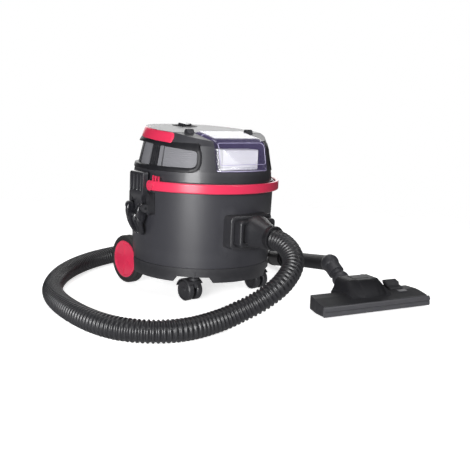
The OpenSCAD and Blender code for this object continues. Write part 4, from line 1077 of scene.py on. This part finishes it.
@dataclass
class RecessFrame:
    """Gloss border round a side recess, with its inner wall."""

    palette: Palette
    form: HeadForm
    side: int
    radius: float = 150.0
    band: float = 10.0
    fill_z: float = 347.0
    points: tuple[tuple[float, float, float], ...] = (
        (43.5, 294.0, 15.0), (146.0, 294.0, 8.0), (146.0, 342.5, 8.0), (100.0, 342.5, 14.0),
        (75.0, 337.5, 14.0), (43.5, 329.5, 9.0))

    def path(self) -> list[tuple[float, float]]:
        """Inner outline with rounded corners.

        Returns:
            Distance round the head and height of each point.
        """
        flat = [(math.radians(az) * self.radius, z, r) for az, z, r in self.points]
        out = []
        for i, (s, z, r) in enumerate(flat):
            here = Vector((s, z))
            before, after = (Vector(flat[(i + k) % len(flat)][:2]) for k in (-1, 1))
            start = here + (before - here).normalized() * r
            end = here + (after - here).normalized() * r
            for k in range(9):
                t = k / 8
                out.append(tuple(start * (1 - t) ** 2 + here * 2 * t * (1 - t) + end * t * t))
            for k in range(1, 12):
                nxt = Vector(flat[(i + 1) % len(flat)][:2])
                stop = nxt + (here - nxt).normalized() * flat[(i + 1) % len(flat)][2]
                out.append(tuple(end.lerp(stop, k / 12)))
        return out

    def build(self, name: str) -> None:
        """Makes the border and shows it on the head.

        Args:
            name: Name of the piece.
        """
        path = self.path()
        n = len(path)
        section = ((self.band + 0.6, -1.2), (self.band, 1.2), (self.band - 1.0, 1.9), (1.2, 1.9), (0.3, 1.2),
                   (0.0, -0.5), (0.0, -9.0))
        rings = []
        for i in range(n):
            a, b = Vector(path[i - 1]), Vector(path[(i + 1) % n])
            along = (b - a).normalized()
            out = Vector((along.y, -along.x))
            ring = []
            for off, proud in section:
                s, z = Vector(path[i]) + out * off
                if out.y > 0.8 and off > self.band - 2:
                    z = max(z, self.fill_z - (self.band - off))
                ring.append(self.form.skin(self.side, math.degrees(s / self.radius), z, proud))
            rings.append(ring)
        rings.append(rings[0])
        piece = loft(name, rings, 40, capped=False, around=False)
        show(piece, self.palette, "frame_black", "head_plastic", "head")


@dataclass
class VentPanel:
    """Sunk panel of a side recess: a ribbed plate and columns in a light grey that paints the reflection on
    their black plastic, and dark louvres before a dark tray.
    """

    palette: Palette
    form: HeadForm
    side: int
    low: float = 288.6
    high: float = 346.4
    rib: float = 0.55
    columns: tuple[tuple[float, float], ...] = ((75.6, 79.6), (92.0, 106.0))
    louvres: tuple[float, ...] = (82.0, 84.6, 87.2, 89.8, *range(109, 138, 4))

    def bars(self, name: str, spans: Iterable[tuple[float, float]], front: float, back: float,
             ribs: int = 0) -> bpy.types.Object:
        """Makes upright bars as one piece.

        Args:
            name: Name of the piece.
            spans: First and last angle of each bar, in degrees.
            front: Depth of the bars' front under the skin, in millimetres.
            back: Depth of their back.
            ribs: Number of level ribs on the front.

        Returns:
            The piece.
        """
        rows = 4 * ribs + 1
        section = [(self.low, -back)]
        for k in range(rows + 1):
            sunk = self.rib if ribs and k % 4 in (0, 3) else 0.0
            section.append((self.low + (self.high - self.low) * k / rows, -front - sunk))
        section.append((self.high, -back))
        shells = []
        for start, stop in spans:
            count = max(2, int((stop - start) / 2.5))
            angles = [start + (stop - start) * i / count for i in range(count + 1)]
            shells.append([[self.form.skin(self.side, az, z, d) for z, d in section] for az in angles])
        return loft_all(name, shells, 25)

    def build(self, end: str) -> None:
        """Makes the pieces of the panel and shows them on the head.

        Args:
            end: Word for its side, as in the nodes' names.
        """
        tray = self.bars(f"vent_tray_{end}", ((39.5, 150.5),), 9.6, 11.8)
        show(tray, self.palette, "frame_black", "grey_plastic", "head", f"vent_panel_{end}")
        plate = self.bars(f"vent_plate_{end}", ((41.6, 73.8),), 4.4, 9.5, ribs=13)
        columns = self.bars(f"vent_columns_{end}", self.columns, 5.0, 9.5)
        louvres = self.bars(f"vent_louvres_{end}", [(a, a + 1.1) for a in self.louvres], 6.6, 9.5)
        # the light grey of the plate and columns is a painted reflection on black plastic
        for piece, finish in ((plate, "vent_painted_reflection"), (columns, "vent_painted_reflection"), (louvres, "gloss_black")):
            show(piece, self.palette, finish, "grey_plastic", "head")


@dataclass
class SwitchBezel:
    """Low oval rim round the rocker switch on the head's top."""

    palette: Palette
    form: HeadForm
    mid_y: float = 76.0
    half_w: float = 32.0
    half_d: float = 27.0
    hole_w: float = 22.4
    hole_d: float = 12.4

    def build(self) -> None:
        """Makes the rim."""
        slope = math.radians(self.form.top_slope)
        rings = []
        for outer, lift, inner in ((1.0, -0.8, 0.0), (1.0, 0.5, 0.0), (0.975, 1.1, 0.0), (0.94, 1.3, 0.0),
                                   (0.0, 1.0, 1.03), (0.0, 0.4, 1.0), (0.0, -3.0, 1.0)):
            ring = []
            for c, s in turn(72):
                if outer:
                    x, y = self.half_w * outer * c, self.half_d * outer * s
                else:
                    r = (abs(c / self.hole_w) ** 7 + abs(s / self.hole_d) ** 7) ** (-1 / 7) * inner
                    x, y = r * c, r * s
                z = self.form.top(self.mid_y) + y * math.sin(slope) + lift * math.cos(slope)
                ring.append(at(x, self.mid_y + y * math.cos(slope) - lift * math.sin(slope), z))
            rings.append(ring)
        piece = loft("switch_rim", rings, 30, capped=False)
        show(piece, self.palette, "frame_black", "gloss_black", "head", "switch_bezel")


# ---------------------------------------------------------------- floor tool


@dataclass
class ToolHump:
    """Bulged hood over the floor tool's hinge, and a small plate beside the pedal."""

    palette: Palette
    origin: tuple[float, float] = (182.0, -395.0)
    yaw: float = -12.7
    crest: float = 61.6
    foot_z: float = 25.0
    left_x: float = -57.0
    right_x: float = 78.0

    def world(self, x: float, y: float, z: float) -> Vector:
        """Turns a point of the floor tool's own axes into the scene's.

        Args:
            x: Millimetres across the tool.
            y: Millimetres along the tool, backwards.
            z: Millimetres above the floor.

        Returns:
            The point in metres.
        """
        a = math.radians(self.yaw)
        return at(self.origin[0] + x * math.cos(a) - y * math.sin(a),
                  self.origin[1] + x * math.sin(a) + y * math.cos(a), z)

    def height(self, x: float) -> float:
        """Height of the hood across the tool: steep at one side, flared at the other.

        Args:
            x: Millimetres across the tool.

        Returns:
            The height in millimetres.
        """
        return between(((-57, 24), (-52.5, 33), (-50, 46), (-47, 55), (-42, 60), (-34, self.crest),
                        (0, self.crest + 0.6), (30, self.crest), (37, 59), (45, 51), (54, 41), (62, 35),
                        (70, 32), (78, 29)), x)

    def hood(self) -> bpy.types.Object:
        """Makes the hood as a thin skin, open behind for the neck.

        Returns:
            The hood.
        """
        rows = []
        for i in range(91):
            x = self.left_x + (self.right_x - self.left_x) * i / 90
            top = self.height(x)
            foot = 17.0 + 16.0 * (abs(x - 6) / 68) ** 2.4
            back = 82.5 if abs(x) < 21 else 95.0
            row = []
            for k in range(25):
                t = k / 24
                bend = math.sin(min(t / 0.55, 1.0) * math.pi / 2)
                y = foot + (back - foot) * t
                row.append(self.world(x, y, self.foot_z + (top - self.foot_z) * bend ** 0.75))
            rows.append(row)
        return loft("tool_hood", rows, 50, capped=False, around=False)

    def build(self) -> None:
        """Makes both pieces."""
        show(self.hood(), self.palette, "tube_black", "gloss_black", "tool")
        plan = rounded_rect(24, 11, 1.5, 3)
        rings = [[self.world(96 + x * f, 35 + y * f, 31.5 + 0.085 * y + lift) for x, y in plan]
                 for lift, f in ((-1.5, 1.0), (1.0, 1.0), (1.4, 0.97))]
        show(loft("tool_plate", rings, 30), self.palette, "bumper_rubber", "gloss_black", "tool")


# ---------------------------------------------------------------- latches


@dataclass
class Latch:
    """Over-centre catch: a ribbed block over the rim on a link, and a two-lobed lever under it."""

    palette: Palette
    side: int
    end: str
    az: float = 92.0
    back_r: float = 168.1
    cheek_r: float = 180.5
    cheek_z: float = 192.5
    cheek_up: float = 19.5
    cheek_down: float = 25.0

    def place(self, u: float, r: float, z: float) -> Vector:
        """Point given from the wall.

        Args:
            u: Millimetres along the wall.
            r: Millimetres out from the axis.
            z: Millimetres above the floor.

        Returns:
            The point in metres.
        """
        a = math.radians(self.az)
        x, y = r * math.sin(a) + u * math.cos(a), -r * math.cos(a) + u * math.sin(a)
        return at(self.side * x, y, z)

    def block(self) -> bpy.types.Object:
        """Makes the block with upright ribs, and the link that narrows down to the lever.

        Returns:
            The block.
        """
        stations = ((279.0, 25.0, 177.5, 0), (278.4, 26.6, 179.6, 0), (276.6, 27.6, 181.0, 0),
                    (273, 28.0, 181.6, 0), (271, 28.0, 181.6, 1), (241, 27.8, 182.0, 1),
                    (238, 27.4, 182.0, 0), (231, 26.0, 181.8, 0), (225, 22.5, 180.8, 0),
                    (219, 18.5, 178.4, 0), (212, 16.6, 176.4, 0), (200, 16.0, 175.2, 0),
                    (194, 15.5, 174.6, 0))
        rings = []
        for z, half, face, ribs in stations:
            ring = [self.place(-half, self.back_r, z)]
            for k in range(61):
                u = -half + 2 * half * k / 60
                bend = 1.6 * max(0.0, (abs(u) - half + 3.0) / 3.0) ** 2
                rib = 2.4 * ribs if math.cos(u * math.tau / 14.5) < -0.1 and abs(u) < half - 3 else 0.0
                ring.append(self.place(u, face - bend - rib, z))
            ring.append(self.place(half, self.back_r, z))
            rings.append(ring)
        return loft(f"catch_block_{self.end}", rings, 30)

    def lever(self) -> bpy.types.Object:
        """Makes the lever: two egg-shaped cheeks and a scooped, tapering grip between and below them.

        Returns:
            The lever.
        """
        shells = []
        for low_u, high_u in ((-27.0, -17.5), (17.5, 27.0)):
            rows = []
            for u, size in ((low_u, 0.80), (low_u + 0.8, 0.94), (low_u + 2.2, 1.0), (high_u - 2.2, 1.0),
                            (high_u - 0.8, 0.94), (high_u, 0.80)):
                row = []
                for c, s in turn(32):
                    z = self.cheek_z + (self.cheek_up if s > 0 else self.cheek_down) * size * s
                    row.append(self.place(u, max(self.cheek_r + 12.0 * size * c, 169.0), z))
                rows.append(row)
            shells.append(rows)
        stations = ((186.0, 18.0, 183.0, 178.0), (184.0, 26.0, 189.0, 182.0), (176.0, 27.5, 191.5, 183.5),
                    (166.0, 26.5, 188.8, 180.0), (156.0, 24.0, 184.5, 175.5), (148.0, 21.0, 180.5, 171.5),
                    (142.0, 18.0, 177.0, 169.2), (139.5, 15.0, 174.5, 169.0))
        rows = []
        for z, half, edge, dish in stations:
            row = [self.place(-half, edge - 7.0, z)]
            for k in range(41):
                u = -half + 2 * half * k / 40
                share = abs(u) / half
                rise = max(0.0, 1.0 - ((share - 0.78) / 0.2) ** 2) if share > 0.6 else 0.0
                middle = 0.6 * math.exp(-(u / 3.0) ** 2)
                row.append(self.place(u, dish + (edge - dish) * max(rise, middle), z))
            row.append(self.place(half, edge - 7.0, z))
            rows.append(row)
        shells.append(rows)
        return loft_all(f"catch_lever_{self.end}", shells, 38)

    def build(self) -> None:
        """Makes both pieces of the catch."""
        for piece, finish, slot, part in ((self.block(), "latch_black", "black_plastic", "hook"),
                                          (self.lever(), "gloss_black", "gloss_black", "lever")):
            show(piece, self.palette, finish, slot, f"{part}_{self.end}", f"latch_{part}_{self.end}")


# ---------------------------------------------------------------- exhaust filter


@dataclass
class PleatedFilter:
    """White exhaust filter with fine upright pleats in a plain frame."""

    palette: Palette
    half_w: float = 51.0
    front_y: float = -131.8
    back_y: float = -92.0
    low_z: float = 289.6
    high_z: float = 333.6
    pitch: float = 3.0
    fold: float = 2.6

    def build(self) -> None:
        """Makes the pleats and the frame's two plates."""
        count = int(2 * self.half_w / self.pitch)
        outline = []
        for k in range(2 * count + 1):
            x = -self.half_w + k * self.pitch / 2
            outline.append((x, self.front_y + (self.fold if k % 2 else 0.0)))
        outline += [(self.half_w, self.back_y), (-self.half_w, self.back_y)]
        rings = [[at(x, y, z) for x, y in outline] for z in (self.low_z + 1.6, self.high_z - 1.6)]
        pack = loft("pleat_pack", rings, 20)
        show(pack, self.palette, "filter_cloth", "filter_cloth", "head", "exhaust_filter")
        for name, z in (("filter_plate_low", self.low_z), ("filter_plate_high", self.high_z - 1.8)):
            mid = (self.front_y + self.back_y) / 2
            tall = self.back_y - self.front_y + 0.4
            plan = rounded_rect(2 * self.half_w + 1.6, tall, 2.5, 4, 2)
            rings = [[at(x * f, mid + y * f, z + h) for x, y in plan]
                     for h, f in ((0.0, 0.99), (0.4, 1.0), (1.4, 1.0), (1.8, 0.99))]
            show(loft(name, rings, 40), self.palette, "filter_cloth", "filter_cloth", "head")


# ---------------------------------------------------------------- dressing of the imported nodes


@dataclass
class Dressing:
    """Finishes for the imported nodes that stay."""

    palette: Palette
    nodes: dict[str, bpy.types.Object]
    record: dict
    smooth_angle: float = 38.0
    other: dict[str, str] = field(default_factory=lambda: {
        "latch_pins": "blackened_steel", "bail_pins": "red_plastic", "switch_rocker": "gloss_black",
        "hand_tube": "tube_black", "tube_elbow": "elbow_black", "tool_neck": "elbow_black",
        "tool_body": "tube_black", "tool_pedal": "tube_black"})

    def apply(self) -> None:
        """Dresses every node that is still shown."""
        slots = {row["node"]: row["material_slot"] for row in self.record["subparts"]}
        for name, node in self.nodes.items():
            if node.hide_render:
                continue
            self.palette.dress(node, self.other.get(name, slots[name]))
            node.data.shade_smooth()
            node.data.set_sharp_from_angle(angle=math.radians(self.smooth_angle))
            log.info("node %s: %s", name, slots[name])


# ---------------------------------------------------------------- stage


@dataclass
class Studio:
    """Camera, pale floor and soft lights."""

    place: tuple[float, float, float] = (-1041.0, -1313.0, 427.0)
    yaw: float = -38.4
    yaw_off: float = -0.0486
    pitch: float = 0.1781
    roll: float = 0.0412
    focal: float = 54.64
    floor_r: float = 1.7
    floor_glow: float = 0.71
    floor_bounce: float = 0.22
    back_glow: float = 3.2
    side_glow: float = 0.05
    low_glow: float = 0.10
    top_glow: float = 0.12
    behind: tuple[float, float, float] = (0.56, 0.80, 0.22)

    def camera(self) -> None:
        """Makes the camera."""
        yaw = math.radians(self.yaw)
        level = Vector((-math.sin(yaw), math.cos(yaw), 0.0))
        level.rotate(Matrix.Rotation(self.yaw_off, 3, "Z"))
        right = level.cross(Vector((0, 0, 1)))
        ahead = level * math.cos(self.pitch) - Vector((0, 0, math.sin(self.pitch)))
        up = right.cross(ahead)
        right, up = (right * math.cos(self.roll) + up * math.sin(self.roll),
                     up * math.cos(self.roll) - right * math.sin(self.roll))
        data = bpy.data.cameras.new("camera")
        data.sensor_width = 36.0
        data.lens = self.focal
        data.clip_end = 50.0
        camera = bpy.data.objects.new("camera", data)
        facing = Matrix((right, up, -ahead)).transposed()
        camera.matrix_world = Matrix.Translation(at(*self.place)) @ facing.to_4x4()
        bpy.context.scene.collection.objects.link(camera)
        bpy.context.scene.camera = camera

    def floor(self) -> None:
        """Makes the pale floor, which fades into the surroundings further out."""
        r = self.floor_r
        verts = [(r * c, r * s, 0) for c, s in turn(64)]
        floor = mesh_piece("studio_floor", verts, [tuple(range(len(verts)))])
        mat, g, shader = new_material("pale_floor")
        seen = g.node("LightPath").outputs["Is Camera Ray"]
        far = g.node("VectorMath", {0: g.place()}, operation="LENGTH").outputs["Value"]
        g.feed(shader, {
            "Roughness": 0.6, "Specular IOR Level": 0.1, "Emission Color": (1, 1, 1, 1),
            "Emission Strength": g.ramp(seen, wanted=(self.floor_bounce, self.floor_glow)),
            "Base Color": g.blend(seen, (0.34, 0.34, 0.35), (0.93, 0.93, 0.93)),
            "Alpha": g.ramp(far, (r * 0.45, r * 0.98), (1.0, 0.0), smooth=True)})
        floor.data.materials.append(mat)

    def light(self, name: str, place: tuple[float, float, float], aim: tuple[float, float, float],
              size: tuple[float, float], power: float) -> None:
        """Adds one soft box.

        Args:
            name: Name of the light.
            place: Its centre, in metres.
            aim: The point that it faces.
            size: Its width and height in metres.
            power: Its strength in watts.
        """
        data = bpy.data.lights.new(name, "AREA")
        data.shape = "RECTANGLE"
        data.size, data.size_y = size
        data.energy = power
        lamp = bpy.data.objects.new(name, data)
        lamp.location = place
        lamp.rotation_euler = (Vector(aim) - Vector(place)).to_track_quat("-Z", "Y").to_euler()
        bpy.context.scene.collection.objects.link(lamp)

    def surroundings(self) -> None:
        """Makes the white background, and behind it the softer glow that the surfaces reflect."""
        world = bpy.data.worlds.new("studio")
        world.use_nodes = True
        g, nodes = Graph(world.node_tree), world.node_tree.nodes
        way = g.node("TexCoord").outputs["Generated"]
        behind = g.node("VectorMath", {0: way, 1: self.behind}, operation="DOT_PRODUCT").outputs["Value"]
        height = g.node("SeparateXYZ", {"Vector": way}).outputs["Z"]
        back = g.ramp(behind, (0.86, 0.95), (self.side_glow, self.back_glow), smooth=True)
        fade = g.ramp(height, (0.38, 0.55), (1.0, self.top_glow), smooth=True)
        strength = g.node("Mix", {"Factor": g.ramp(height, (-0.02, 0.04)), "A": self.low_glow,
                                  "B": g.math("MULTIPLY", back, fade)}, data_type="FLOAT").outputs["Result"]
        glow = g.node("Background", {"Strength": strength})
        white = nodes["Background"]
        g.feed(white, {"Color": (1, 1, 1, 1), "Strength": 1.0})
        seen = g.node("LightPath").outputs["Is Camera Ray"]
        mix = g.node("MixShader", {"Fac": seen, 1: glow.outputs[0], 2: white.outputs[0]})
        g.feed(nodes["World Output"], {"Surface": mix.outputs[0]})
        bpy.context.scene.world = world

    def lights(self) -> None:
        """Makes the soft boxes."""
        self.light("key", (-1.79, -1.27, 0.50), (0, 0, 0.2), (0.9, 0.8), 62)
        self.light("fill", (0.6, -2.3, 1.5), (0.05, 0, 0.2), (0.7, 0.7), 20)
        self.light("top", (0.1, 0.2, 2.3), (0, 0, 0.2), (1.3, 1.3), 14)

    def build(self) -> None:
        """Makes the floor, the surroundings and the lights."""
        bpy.context.scene.view_settings.view_transform = "Standard"
        self.floor()
        self.surroundings()
        self.lights()


# ---------------------------------------------------------------- everything in order


def main() -> None:
    """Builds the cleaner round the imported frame."""
    logging.basicConfig(level=logging.INFO, format="%(name)s: %(message)s")
    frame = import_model()
    studio = Studio()
    studio.camera()
    palette = Palette(EffectLibrary())
    palette.build()
    nodes = frame["nodes"]
    Hose(palette).place(nodes)
    FilterCover(palette).build()
    PleatedFilter(palette).build()
    InletHousing(palette).build()
    SwitchBezel(palette, HeadForm()).build()
    ToolHump(palette).build()
    for side, end in ((-1, "left"), (1, "right")):
        SideGrip(palette, HeadForm(), side).build(f"grip_{end}", f"side_grip_{end}")
        RecessFrame(palette, HeadForm(), side).build(f"recess_frame_{end}")
        VentPanel(palette, HeadForm(), side).build(end)
        Latch(palette, side, end).build()
    Dressing(palette, nodes, frame["record"]).apply()
    studio.build()


if __name__ == "__main__":
    main()
